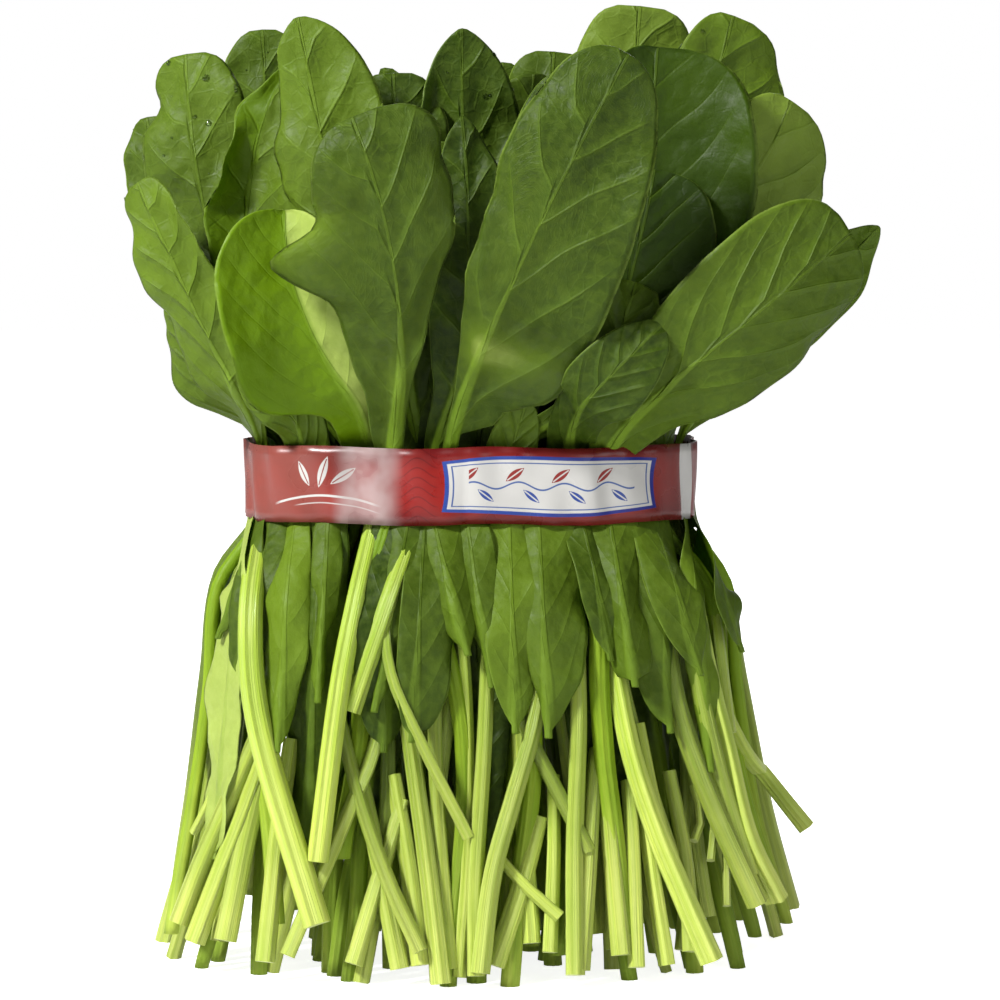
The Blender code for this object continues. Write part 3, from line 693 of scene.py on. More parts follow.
class Shader:
    """A material under construction: its methods add a node and give back its value."""

    def __init__(self, name):
        self.material = bpy.data.materials.new(name)
        self.material.use_nodes = True
        self.tree = self.material.node_tree
        self.skin = self.tree.nodes["Principled BSDF"]
        self.out = self.tree.nodes["Material Output"]

    def node(self, kind, **settings):
        made = self.tree.nodes.new(kind)
        for key, value in settings.items():
            setattr(made, key, value)
        return made

    def put(self, socket, value):
        if isinstance(value, Value):
            value = value.socket
        if isinstance(value, bpy.types.NodeSocket):
            self.tree.links.new(value, socket)
        else:
            socket.default_value = value

    def value(self, made, inputs, output=0):
        """The value of a node once its inputs, by number or name, are set."""
        for key, given in inputs.items():
            self.put(made.inputs[key], given)
        return Value(self, made.outputs[output])

    def math(self, operation, a, b=None, clamp=False):
        made = self.node("ShaderNodeMath", operation=operation, use_clamp=clamp)
        return self.value(made, {0: a} if b is None else {0: a, 1: b})

    def highest(self, a, b):
        return self.math("MAXIMUM", a, b)

    def between(self, value, low, high, to_low=0.0, to_high=1.0, smoothed=True):
        """The share of the way from low to high, clamped."""
        made = self.node("ShaderNodeMapRange", interpolation_type="SMOOTHSTEP" if smoothed else "LINEAR")
        return self.value(made, {0: value, 1: low, 2: high, 3: to_low, 4: to_high})

    def mix(self, share, a, b):
        """The first colour at share 0, the second at 1."""
        made = self.node("ShaderNodeMix", data_type="RGBA", blend_type="MIX")
        a, b = ((*colour, 1.0) if isinstance(colour, tuple) else colour for colour in (a, b))
        return self.value(made, {0: share, 6: a, 7: b}, 2)

    def split(self, vector):
        made = self.node("ShaderNodeSeparateXYZ")
        self.put(made.inputs[0], vector)
        return [Value(self, output) for output in made.outputs]

    def attribute(self, name):
        """The three numbers of a mesh attribute."""
        return self.split(self.node("ShaderNodeAttribute", attribute_name=name).outputs["Vector"])

    def place(self):
        return self.node("ShaderNodeTexCoord").outputs["Object"]

    def combine(self, x, y, z):
        return self.value(self.node("ShaderNodeCombineXYZ"), {0: x, 1: y, 2: z})

    def noise(self, where, scale, detail=2.0, rough=0.5):
        inputs = {"Vector": where, "Scale": scale, "Detail": detail, "Roughness": rough}
        return self.value(self.node("ShaderNodeTexNoise"), inputs)

    def cells(self, where, scale):
        """Distance from the border between the cells of a net."""
        made = self.node("ShaderNodeTexVoronoi", feature="DISTANCE_TO_EDGE")
        return self.value(made, {"Vector": where, "Scale": scale}, "Distance")

    def bump(self, height, strength):
        inputs = {"Height": height, "Strength": strength, "Distance": MM}
        return self.value(self.node("ShaderNodeBump"), inputs)

    def surface(self, inputs):
        """Sets the inputs of the surface by their names."""
        for key, given in inputs.items():
            self.put(self.skin.inputs[key], given)


def leaf_material():
    """Blade and stem in one: darker on the inner face, with raised veins on the outer."""
    s = Shader("spinach leaf")
    x, y, share = s.attribute("leaf_map")
    face, vein, tone_and_painted_light = s.attribute("leaf_kind")
    edge, height, cut = s.attribute("leaf_edge")
    veined, _, _ = s.attribute("leaf_veins")
    where = s.place()
    flat = s.combine(x, y, tone_and_painted_light)
    broad = s.noise(where, 38.0, 3.0, 0.55)
    fine = s.noise(where, 420.0, 3.0, 0.6)
    crinkle = s.noise(where, 125.0, 2.0, 0.5)
    blade = s.between(share, 0.0, 0.10)
    off_midrib = abs(x)

    # side veins run from the midrib and fade out at the edge; the net between them is finer and fainter
    to_vein = s.math("PINGPONG", vein, 0.5)
    fade = s.between(edge, 0.55, 0.95, 1.0, 0.15) * veined
    core = s.between(to_vein, 0.0, 0.05, 1.0, 0.0) * fade
    glow = s.between(to_vein, 0.0, 0.22, 1.0, 0.0) * fade
    net = s.between(s.cells(flat, 230.0), 0.0, 0.09, 1.0, 0.0) * veined
    fine_net = s.between(s.cells(flat, 620.0), 0.0, 0.10, 1.0, 0.0)
    rib_width = s.between(share, 0.0, 0.5, 2.3 * MM, 0.45 * MM)
    midrib = s.math("SUBTRACT", 1.0, off_midrib / rib_width, clamp=True)
    midrib = s.between(midrib, 0.0, 0.45)
    rim = s.between(edge, 0.962, 0.992) * blade

    # the tone holds painted light: near black on leaves deep in the bunch as painted shade, lighter where a
    # leaf or spot faces the lamp, and pale above 1, in part a pale blade, in part painted light on a lit wall
    pale = s.math("SUBTRACT", tone_and_painted_light, 1.0, clamp=True)
    outer = s.mix(tone_and_painted_light, (0.020, 0.042, 0.001), (0.120, 0.195, 0.010))
    outer = s.mix(pale, outer, (0.48, 0.60, 0.13))
    outer = s.mix(s.between(broad, 0.38, 0.62), s.mix(0.22, outer, (0.010, 0.022, 0.001)), outer)
    outer = s.mix(s.between(fine, 0.35, 0.65, 0.0, 0.30), outer, s.mix(0.5, outer, (0.16, 0.24, 0.02)))
    outer = s.mix(glow * 0.12, outer, (0.15, 0.26, 0.02))
    outer = s.mix(core * 0.12, outer, (0.24, 0.36, 0.04))
    outer = s.mix(net * 0.05, outer, (0.16, 0.26, 0.03))
    outer = s.mix(fine_net * 0.06, outer, (0.17, 0.27, 0.03))
    inner = s.mix(tone_and_painted_light, (0.010, 0.026, 0.0002), (0.125, 0.225, 0.0006))
    inner = s.mix(s.between(broad, 0.3, 0.7), inner, s.mix(0.30, inner, (0.06, 0.11, 0.0006)))
    inner = s.mix(glow * 0.14, inner, (0.08, 0.15, 0.003))
    inner = s.mix(core * 0.16, inner, (0.15, 0.25, 0.01))
    colour = s.mix(face, inner, outer)
    bright_rib = s.between(share, 0.1, 0.7, 0.6, 0.16) * s.between(veined, 0.1, 0.4, 0.35, 1.0)
    colour = s.mix(midrib * bright_rib, colour, (0.2, 0.32, 0.025))
    colour = s.mix(rim * 0.5, colour, (0.24, 0.35, 0.05))

    # the stem: paler towards the cut, with lengthwise lines, and darker on darker leaves, painted shade for
    # the deep ones
    lines = s.noise(s.combine(x * 900.0, y * 22.0, tone_and_painted_light * 31.0), 1.0, 3.0, 0.6)
    stem = s.mix(s.between(height, 0.0, 0.060), (0.52, 0.63, 0.100), (0.36, 0.50, 0.030))
    stem = s.mix(s.between(height, 0.045, 0.120), stem, (0.17, 0.28, 0.010))
    stem = s.mix(s.between(lines, 0.40, 0.66), s.mix(0.45, stem, (0.14, 0.27, 0.006)), stem)
    stem = s.mix(s.between(broad, 0.35, 0.65, 0.0, 0.55), stem, s.mix(0.6, stem, (0.13, 0.24, 0.008)))
    # stems of darker leaves are darker too, as painted shade for the deep leaves in the bunch
    stem = s.mix(s.between(tone_and_painted_light, 0.0, 0.8, 0.75, 0.0), stem, s.mix(0.7, stem, (0.08, 0.15, 0.004)))
    near_blade = s.between(share, 0.0, 0.22)
    on_rib = (1.0 - near_blade) * s.highest(midrib, 1.0 - blade)
    on_rib = on_rib * s.between(veined, 0.2, 0.3)
    colour = s.mix(on_rib, colour, stem)
    colour = s.mix(s.math("MINIMUM", cut, 1.0), colour, (0.56, 0.66, 0.20))
    colour = s.mix(s.math("SUBTRACT", cut, 1.0, clamp=True), colour, (0.40, 0.50, 0.12))

    # raised veins outside and sunk ones inside, with a fine grain
    sign = s.between(face, 0.0, 1.0, -1.0, 1.0, smoothed=False)
    raised = (core * 0.26 + (glow * 0.42 + net * 0.06)) * sign
    grain = fine * 0.26 + (broad * 0.9 + crinkle * blade * 1.5)
    stripes = lines * 0.5 * (1.0 - blade)
    s.surface({
        "Base Color": colour,
        "Roughness": s.between(fine, 0.3, 0.7, 0.46, 0.60),
        "Specular IOR Level": 0.18,
        "Normal": s.bump(raised * blade + grain + (stripes + midrib * 0.2), 0.85),
    })

    # a fifth of the light that falls on the leaf goes through it
    shine = s.mix(blade, (0.40, 0.52, 0.06), (0.20, 0.42, 0.010))
    through = s.value(s.node("ShaderNodeBsdfTranslucent"), {"Color": shine})
    both = s.value(s.node("ShaderNodeMixShader"), {0: 0.20, 1: s.skin.outputs[0], 2: through})
    s.put(s.out.inputs["Surface"], both)
    return s.material


def stem_material():
    """Loose stems: pale yellow-green, ribbed along their length, paler still at the cut, with painted
    highlights along them and painted shade towards the tie and on the inner ones.
    """
    s = Shader("spinach stem")
    around, length, shade = s.attribute("stem_map")
    cut, _, _ = s.attribute("stem_cut")
    where = s.place()
    height = s.split(where)[2]
    broad = s.noise(where, 45.0, 3.0, 0.5)
    stretched = s.combine(around * 9.0, length * 2.2, shade * 17.0)
    lines = s.noise(stretched, 1.0, 3.0, 0.6)
    # painted highlight: pale stripes round the stem stand in for the lamp's lengthwise highlights
    ridge = s.between(s.math("COSINE", around * 7.0), -0.8, 0.9)
    stem = s.mix(s.between(height, 0.0, 0.060), (0.66, 0.72, 0.150), (0.56, 0.66, 0.090))
    # darker towards the tie: partly the greener upper stem, partly painted shade
    stem = s.mix(s.between(height, 0.030, 0.110), stem, (0.36, 0.48, 0.045))
    stem = s.mix(s.between(lines, 0.36, 0.66), s.mix(0.45, stem, (0.20, 0.36, 0.008)), stem)
    stem = s.mix(ridge * 0.35, stem, s.mix(0.5, stem, (0.8, 0.86, 0.34)))
    stem = s.mix(s.between(broad, 0.38, 0.62, 0.0, 0.5), stem, s.mix(0.5, stem, (0.22, 0.38, 0.012)))
    # painted shade: each stem is darker by its shade, more so towards the tie, and the inner stems most
    deep = shade * s.between(height, 0.0, 0.06, 0.4, 1.0)
    stem = s.mix(deep, stem, s.mix(0.93, stem, (0.045, 0.085, 0.002)))
    s.surface({
        "Base Color": s.mix(cut, stem, (0.60, 0.68, 0.24)),
        "Roughness": s.between(lines, 0.3, 0.7, 0.30, 0.44),
        "Specular IOR Level": 0.42,
        "Normal": s.bump(lines * 0.5 + broad * 0.5, 0.8),
    })
    return s.material


def water_material():
    s = Shader("water")
    s.surface({
        "Base Color": (0.9, 0.95, 0.9, 1.0), "Roughness": 0.03, "IOR": 1.33, "Transmission Weight": 1.0
    })
    return s.material


PANEL_AT = 20.6           # how far to the right of the middle of the front the panel's middle is, mm


def tie_material():
    """Glossy print: red with painted shade at its edges and right end, a painted glare and sheen on the left,
    a bordered panel and plain leaf shapes.
    """
    s = Shader("tie")
    across, up, _ = s.attribute("tie_map")     # millimetres from the middle of the front, and up the tie
    where = s.place()
    white, blue, dark_blue = (0.46, 0.45, 0.43), (0.020, 0.050, 0.24), (0.010, 0.016, 0.17)

    def band(value, half, soft=0.12):
        """Within half of zero."""
        return s.between(abs(value), half, half + soft, 1.0, 0.0)

    def leaf_shape(x, y, turn, long, wide):
        """A leaf pointed at both ends, and the line down its middle."""
        c, n = math.cos(math.radians(turn)), math.sin(math.radians(turn))
        run = x * c + y * n
        off = y * c - x * n
        fall = run * run / (long * long)
        body = (1.0 - fall) * wide - abs(off)
        line = band(off, 0.1) * band(run, long * 0.8)
        return s.between(body, 0.0, 0.14) * (1.0 - line)

    def panel(half_x, half_y):
        """Inside a panel whose long sides bow outwards and whose ends bow in."""
        dx = (across - PANEL_AT) / 27.0
        dy = up / 7.0
        tall = (1.0 - dx * dx * 0.16) * half_y
        wide = (dy * dy * 0.035 + 0.965) * half_x
        return s.between(tall - abs(up), 0.0, 0.18) * s.between(wide - abs(across - PANEL_AT), 0.0, 0.18)

    mottled = s.noise(where, 70.0, 3.0, 0.6)
    # painted shade: the red is darker towards the top and bottom edges of the band
    red = s.mix(band(up, 3.0, 7.0), (0.085, 0.004, 0.005), (0.215, 0.006, 0.004))
    # painted shade: darker and browner towards the right end, where the band turns away from the light
    red = s.mix(s.between(across, 30.0, 60.0, 0.0, 0.75), red, (0.105, 0.020, 0.016))
    # painted sheen: paler and pinker towards the left end, the faint edge of the lamp's glare
    red = s.mix(s.between(across, -48.0, -20.0, 0.8, 0.0), red, (0.190, 0.060, 0.046))
    red = s.mix(s.between(mottled, 0.35, 0.7, 0.0, 0.25), red, (0.30, 0.03, 0.02))

    # thin dark waves beside the panel
    wave = s.math("SINE", across * 0.62)
    waves = s.math("PINGPONG", up + wave * 1.3, 2.4) - 1.2
    near = s.between(across, -19.0, -15.0) * s.between(across, -9.0, -7.0, 1.0, 0.0)
    red = s.mix(band(waves, 0.1, 0.15) * (near * 0.55), red, (0.055, 0.001, 0.002))

    # a pale spray of leaves over two thin lines
    spray = s.highest(
        leaf_shape(across + 42.0, up - 2.6, 118, 3.6, 1.15),
        s.highest(
            leaf_shape(across + 36.4, up - 3.0, 72, 4.2, 1.25),
            leaf_shape(across + 31.0, up - 2.2, 34, 3.9, 1.15)
        )
    )
    sag = (across + 36.0) * (across + 36.0) * -0.01
    line = band(up + 2.8 - sag, 0.22) * band(across + 36.0, 12.0, 3.0)
    low = band(up + 4.6 - sag, 0.1) * band(across + 33.0, 9.0, 3.0)
    printed = s.mix(s.highest(spray, s.highest(line, low * 0.7)), red, white)

    # a painted glare: the lamp's reflection on the glossy band, pale and mottled, across the left part
    painted_glare = band(across + 25.0, 3.5, 6.0) * s.between(mottled, 0.3, 0.62, 0.25, 0.75)
    printed = s.mix(painted_glare, printed, (0.42, 0.34, 0.33))

    # the panel: a blue border, a pale ground, a thin line, and a wavy stalk with leaves on both sides
    inked = s.mix(panel(27.6, 7.5), printed, s.mix(s.between(across, 0.0, 40.0), blue, dark_blue))
    inked = s.mix(panel(26.5, 6.6), inked, white)
    inked = s.mix(panel(25.6, 5.9) * (1.0 - panel(25.2, 5.6)), inked, (0.05, 0.09, 0.24))
    x = across - PANEL_AT
    inside = band(x, 20.6, 0.2)
    stalk = s.math("SINE", x * (math.pi / 5.6)) * 0.9
    inked = s.mix(band(up - stalk, 0.16) * inside, inked, (0.05, 0.09, 0.24))
    step = s.math("FLOORED_MODULO", x + 2.8, 11.2)
    above = leaf_shape(step - 4.6, up - 2.7, 38, 2.9, 1.05)
    below = leaf_shape(step - 8.6, up + 2.5, -38, 2.6, 0.9)
    inked = s.mix(above * inside, inked, (0.2, 0.014, 0.012))
    inked = s.mix(below * inside, inked, (0.022, 0.05, 0.22))
    stripe = s.between(across, 58.0, 58.3) * s.between(across, 66.0, 66.3, 1.0, 0.0)
    inked = s.mix(stripe, inked, white)
    gentle = s.noise(where, 14.0, 2.0)
    s.surface({
        "Base Color": inked,
        "Roughness": s.between(mottled, 0.3, 0.7, 0.24, 0.36),
        "Specular IOR Level": 0.35,
        "Normal": s.bump(mottled * 0.5 + gentle * 1.5, 0.5),
    })
    return s.material


# ---------------------------------------------------------------------------------------------------------
# Geometry Nodes: loose stems, drops
# ---------------------------------------------------------------------------------------------------------

class Tree:
    """A geometry node tree under construction, with named inputs."""

    def __init__(self, name, inputs):
        self.tree = bpy.data.node_groups.new(name, "GeometryNodeTree")
        self.tree.interface.new_socket("Geometry", in_out="INPUT", socket_type="NodeSocketGeometry")
        for label, kind, value in inputs:
            made = self.tree.interface.new_socket(label, in_out="INPUT", socket_type=kind)
            if value is not None:
                made.default_value = value
        self.tree.interface.new_socket("Geometry", in_out="OUTPUT", socket_type="NodeSocketGeometry")
        self.given = self.tree.nodes.new("NodeGroupInput").outputs
        self.result = self.tree.nodes.new("NodeGroupOutput").inputs[0]

    def node(self, kind, links=None, **settings):
        made = self.tree.nodes.new(kind)
        for key, value in settings.items():
            setattr(made, key, value)
        for key, value in (links or {}).items():
            socket = made.inputs[key]
            if isinstance(value, bpy.types.NodeSocket):
                self.tree.links.new(value, socket)
            else:
                socket.default_value = value
        return made

    def math(self, operation, a, b=0.0):
        return self.node("ShaderNodeMath", {0: a, 1: b}, operation=operation).outputs[0]

    def store(self, geometry, name, value, kind="FLOAT", domain="POINT"):
        links = {"Geometry": geometry, "Name": name, "Value": value}
        return self.node("GeometryNodeStoreNamedAttribute", links, data_type=kind, domain=domain).outputs[0]

    def stored(self, name, kind="FLOAT"):
        return self.node("GeometryNodeInputNamedAttribute", {"Name": name}, data_type=kind).outputs[0]

    def random(self, low, high):
        links = {2: low, 3: high, "Seed": self.given["Seed"]}
        return self.node("FunctionNodeRandomValue", links, data_type="FLOAT").outputs[1]

    def finish(self, geometry):
        """The geometry in the given material."""
        links = {"Geometry": geometry, "Material": self.given["Material"]}
        self.tree.links.new(self.node("GeometryNodeSetMaterial", links).outputs[0], self.result)
        return self.tree


def evaluated(obj, tree, inputs):
    """The plain mesh that the tree makes from the object, with the modifier gone."""
    modifier = obj.modifiers.new(tree.name, "NODES")
    modifier.node_group = tree
    for item in tree.interface.items_tree:
        if item.in_out == "INPUT" and item.name in inputs:
            modifier[item.identifier] = inputs[item.name]
    bpy.context.view_layer.update()
    depsgraph = bpy.context.evaluated_depsgraph_get()
    data = bpy.data.meshes.new_from_object(obj.evaluated_get(depsgraph), depsgraph=depsgraph)
    bpy.data.objects.remove(obj, do_unlink=True)
    return data


def stem_tree():
    """Sweeps a ribbed round section with a groove along every curve and closes its ends."""
    t = Tree("stems", (
        ("Ribs", "NodeSocketFloat", 6.0),
        ("Rib height", "NodeSocketFloat", 0.07),
        ("Groove", "NodeSocketFloat", 0.42),
        ("Section points", "NodeSocketInt", 24),
        ("Step", "NodeSocketFloat", 0.004),
        ("Lightest", "NodeSocketFloat", 0.0),
        ("Darkest", "NodeSocketFloat", 1.0),
        ("Seed", "NodeSocketInt", 258),
        ("Material", "NodeSocketMaterial", None),
    ))
    links = {"Curve": t.given["Geometry"], "Length": t.given["Step"]}
    curves = t.node("GeometryNodeResampleCurve", links, mode="LENGTH").outputs[0]
    links = {"Resolution": t.given["Section points"], "Radius": 1.0}
    circle = t.node("GeometryNodeCurvePrimitiveCircle", links).outputs[0]
    place = t.node("GeometryNodeInputPosition").outputs[0]
    split = t.node("ShaderNodeSeparateXYZ", {0: place})
    turn = t.math("ARCTAN2", split.outputs[1], split.outputs[0])
    ribs = t.math("COSINE", t.math("MULTIPLY", turn, t.given["Ribs"]))
    ribs = t.math("MULTIPLY", ribs, t.given["Rib height"])
    facing = t.math("MAXIMUM", t.math("SUBTRACT", t.math("COSINE", turn), 0.62), 0.0)
    groove = t.math("MULTIPLY", t.math("MULTIPLY", facing, 2.6), t.given["Groove"])
    scale = t.math("SUBTRACT", t.math("ADD", ribs, 1.0), groove)
    shaped = t.node("ShaderNodeVectorMath", {0: place, "Scale": scale}, operation="SCALE").outputs[0]
    section = t.node("GeometryNodeSetPosition", {"Geometry": circle, "Position": shaped}).outputs[0]
    section = t.store(section, "around", turn)
    curves = t.store(curves, "ran", t.node("GeometryNodeSplineParameter").outputs["Length"])
    curves = t.store(curves, "shade", t.random(t.given["Lightest"], t.given["Darkest"]), domain="CURVE")
    swept = t.node("GeometryNodeCurveToMesh", {
        "Curve": curves, "Profile Curve": section, "Fill Caps": True,
        "Scale": t.node("GeometryNodeInputRadius").outputs[0]
    }).outputs[0]
    corners = t.node("GeometryNodeInputMeshFaceNeighbors").outputs["Vertex Count"]
    more = t.node("FunctionNodeCompare", {2: corners, 3: 4}, data_type="INT", operation="GREATER_THAN")
    cap = more.outputs[0]
    links = {"Geometry": swept, "Selection": cap, "Shade Smooth": False}
    flat = t.node("GeometryNodeSetShadeSmooth", links).outputs[0]
    links = {0: t.stored("around"), 1: t.math("MULTIPLY", t.stored("ran"), 10.0), 2: t.stored("shade")}
    mapped = t.store(flat, "stem_map", t.node("ShaderNodeCombineXYZ", links).outputs[0], "FLOAT_VECTOR")
    marked = t.store(mapped, "stem_cut", cap, domain="FACE")
    return t.finish(t.node("GeometryNodeRealizeInstances", {"Geometry": marked}).outputs[0])


def sweep_stems(name, paths, lightest, darkest, material, tree):
    """One mesh of stems; a path is a list of points, the radius at each and the turn of the groove."""
    data = bpy.data.curves.new(name + " paths", "CURVE")
    data.dimensions = "3D"
    for points, radii, turn in paths:
        spline = data.splines.new("POLY")
        spline.points.add(len(points) - 1)
        for corner, at, radius in zip(spline.points, points, radii):
            corner.co = (*at, 1.0)
            corner.radius = radius
            corner.tilt = turn
    source = added(name + " paths", data)
    mesh = evaluated(source, tree, {"Material": material, "Lightest": lightest, "Darkest": darkest})
    mesh.name = name
    return added(name, mesh)


def drop_tree():
    """Scatters flattened drops of water over the outer face of a blade."""
    t = Tree("drops", (
        ("Density", "NodeSocketFloat", 9000.0),
        ("Largest", "NodeSocketFloat", 1.1 * MM),
        ("Seed", "NodeSocketInt", 3),
        ("Material", "NodeSocketMaterial", None),
    ))
    shown = t.node("ShaderNodeSeparateXYZ", {0: t.stored("leaf_kind", "FLOAT_VECTOR")}).outputs[0]
    share = t.node("ShaderNodeSeparateXYZ", {0: t.stored("leaf_map", "FLOAT_VECTOR")}).outputs[2]
    wanted = t.math("MULTIPLY", t.math("GREATER_THAN", shown, 0.99), t.math("GREATER_THAN", share, 0.3))
    spots = t.node("GeometryNodeDistributePointsOnFaces", {
        "Mesh": t.given["Geometry"], "Selection": wanted,
        "Density": t.given["Density"], "Seed": t.given["Seed"]
    }, distribute_method="RANDOM")
    ball = t.node("GeometryNodeMeshIcoSphere", {"Radius": 1.0, "Subdivisions": 2}).outputs[0]
    small = t.math("POWER", t.random(0.0, 1.0), 3.0)
    size = t.math("MULTIPLY", t.math("ADD", t.math("MULTIPLY", small, 0.8), 0.2), t.given["Largest"])
    shape = t.node("ShaderNodeCombineXYZ", {0: size, 1: size, 2: t.math("MULTIPLY", size, 0.55)})
    placed = t.node("GeometryNodeInstanceOnPoints", {
        "Points": spots.outputs["Points"], "Instance": ball,
        "Rotation": spots.outputs["Rotation"], "Scale": shape.outputs[0]
    })
    real = t.node("GeometryNodeRealizeInstances", {"Geometry": placed.outputs[0]}).outputs[0]
    return t.finish(t.node("GeometryNodeSetShadeSmooth", {"Geometry": real}).outputs[0])


# ---------------------------------------------------------------------------------------------------------
# The other leaves, and loose stems
# ---------------------------------------------------------------------------------------------------------

def filled_row(shell, number, place, chance):
    """A leaf that stands where it has room: inner leaves stand taller, and neighbours overlap."""
    inward = 1 - shell / OUTER_SHELL
    dip = 16 * max(math.cos(place / 50 * 2 * math.pi), 0.0)
    foot = 0 if chance.random() < ON_THE_GROUND else round(chance.uniform(1, 14))
    return dict(
        shell=(shell, shell + (0.26 if number % 2 else -0.26)),
        foot=foot,
        places=(place + chance.uniform(-3.4, 3.4), place, place + chance.uniform(-1.4, 1.4)),
        blade=(chance.uniform(56, 97), 198 + 32 * inward - dip + chance.uniform(-12, 8)),
        half=chance.uniform(18, 22) - 4 * inward,
        cup=chance.uniform(-16, -4),
        twist=chance.uniform(-6, 6),
        lean=9 * (1 - inward),
        sway=chance.uniform(-1.6, 1.6),
    )


def all_rows():
    rows = dict(SHOWN)
    chance = random.Random(7)
    for shell, places in FILLED.items():
        for i, place in enumerate(places):
            rows[f"shell{shell}_leaf{i + 1}"] = filled_row(shell, i, place, chance)
    return rows


def front_of_bunch(x, height, out):
    """The front of the outermost shell at this x, moved out by some metres."""
    radius = shell_radius(OUTER_SHELL, height) + out
    share = np.clip(np.abs(x + OFFSET[0]) / radius, 0.0, 0.999)
    return -DEPTH * radius * (1 - share ** ROUNDNESS) ** (1 / ROUNDNESS) - OFFSET[1]


# Loose stems across the front, from the tie down. Each point is x, height and how far it stands out of the
# outermost shell, in mm; then half the width of the stem in mm, and the turn of its groove in degrees.
FRONT_STEMS = (
    (((-52, 124, -5), (-55, 110, 0), (-57, 86, 7), (-54, 60, 9), (-40, 15, 7)), 2.9, 40),
    (((-24, 124, -5), (-27, 110, -1), (-31, 92, 5), (-35, 70, 9), (-40, 30, 8)), 2.3, 70),
    (((-15, 124, -5), (-17, 110, -1), (-23, 92, 5), (-32, 66, 6)), 2.2, 20),
    (((-24, 94, 2), (-22, 76, 8), (-15, 60, 9), (-3, 36, 6)), 1.6, 190),
    (((-20, 84, -2), (-26, 57, 1), (-32, 42, 3), (-47, 7, 4)), 2.0, 120),
    (((-36, 68, 1), (-30, 45, 4), (-23, 26, 6), (-15, 9, 6)), 1.7, 160),
    (((-20, 74, -1), (-15, 40, 2), (-12, 18, 4), (-10, 1, 4)), 2.4, 10),
    (((-53, 64, 0), (-61, 46, 2), (-69, 28, 3), (-75, 12, 3)), 2.5, 60),
    (((-51, 62, -1), (-58, 42, 1), (-65, 24, 2), (-71, 8, 2)), 2.4, 0),
    (((-52, 58, -2), (-58, 34, 0), (-63, 9, 1)), 2.8, 90),
    (((-47, 58, -2), (-50, 36, 1), (-53, 5, 2)), 2.1, 30),
    (((-63, 52, 0), (-68, 41, 1), (-72, 33, 1)), 1.2, 0),
    (((2, 96, -5), (1, 80, 2), (0, 57, 4), (-2, 26, 5), (-2, 3, 5)), 2.2, 350),
    (((-19, 44, -2), (-25, 25, 0), (-31, 5, 1)), 2.3, 140),
    (((-30, 50, -2), (-25, 28, 0), (-20, 4, 0)), 2.2, 80),
    (((-22, 50, -2), (-18, 28, 0), (-15, 5, 1)), 2.3, 0),
    (((-12, 80, -2), (-11, 42, 0), (-8, 4, 1)), 2.0, 45),
    (((-6, 96, -3), (-4, 64, 0), (-4, 30, 0), (-6, 2, 0)), 1.8, 10),
    (((15, 78, 0), (12, 62, 4), (7, 45, 6), (2, 27, 7), (-1, 4, 7)), 2.5, 330),
    (((3, 82, -1), (10, 63, 2), (17, 49, 3), (26, 32, 3)), 1.7, 200),
    (((5, 30, 2), (11, 24, 4), (19, 17, 4)), 1.7, 250),
    (((23, 80, -3), (23, 61, 2), (22, 34, 3), (22, 3, 4)), 2.5, 0),
    (((28, 56, -3), (27, 46, 0), (26, 30, 2), (24, 4, 3)), 1.9, 50),
    (((32, 78, -2), (36, 57, 3), (42, 38, 4), (49, 21, 5), (56, 5, 5)), 2.6, 350),
    (((48, 114, -4), (55, 76, 3), (60, 55, 5), (65, 34, 6), (73, 17, 6)), 2.7, 20),
    (((45, 84, 0), (48, 66, 2), (55, 46, 4), (63, 28, 5), (68, 17, 5)), 2.5, 100),
    (((50, 90, 0), (54, 68, 4), (59, 47, 5), (66, 24, 5)), 2.2, 60),
    (((58, 68, 0), (66, 52, 2), (75, 40, 3), (83, 30, 4)), 1.9, 45),
    (((57, 94, 0), (59, 76, 1), (61, 58, 2)), 1.9, 0),
    (((52, 46, -2), (54, 38, -1), (52, 33, 0)), 1.0, 0),
    (((57, 44, -2), (57, 36, 0), (56, 28, 1)), 1.1, 0),
    (((59, 44, -1), (60, 32, 1), (60, 17, 2)), 1.0, 0),
    (((30, 52, -3), (31, 40, 0), (34, 7, 1)), 2.3, 70),
    (((36, 48, -3), (37, 34, 0), (38, 4, 1)), 2.2, 190),
    (((38, 54, -2), (41, 30, 0), (45, 4, 0)), 2.0, 0),
    (((46, 50, -2), (50, 28, 0), (51, 7, 1)), 1.9, 90),
    (((38, 62, -1), (42, 42, 1), (47, 25, 2), (53, 10, 2)), 2.2, 20),
    (((14, 40, -1), (9, 22, 1), (3, 5, 2)), 2.4, 60),
    (((17, 50, -2), (17, 30, 0), (16, 8, 1)), 2.0, 0),
    (((9, 60, -3), (10, 40, -1), (12, 10, 0)), 2.0, 120),
)


def loose_stem(chance, shell, place, foot, stands):
    """A stem that stands between the shells, bending a little on its way down from the tie."""
    height = np.linspace(stands, foot, 26) * MM
    shift = chance.uniform(-5.5, 5.5)
    bow = chance.uniform(-2.5, 2.5)
    down = (TIE_HEIGHT - height) / TIE_HEIGHT
    places = place + shift * np.maximum(down, 0) + bow * np.sin(np.maximum(down, 0) * math.pi)
    radius = shell_radius(shell, height) + chance.uniform(-2, 2) * MM * np.maximum(down, 0)
    points = in_bunch(places, height, radius)
    size = chance.uniform(1.3, 2.4) * MM
    radii = size * (1.0 + 0.12 * down) * (1 + 0.04 * np.sin(height * 90 + shift))
    return points, radii, chance.uniform(0, 2 * math.pi)


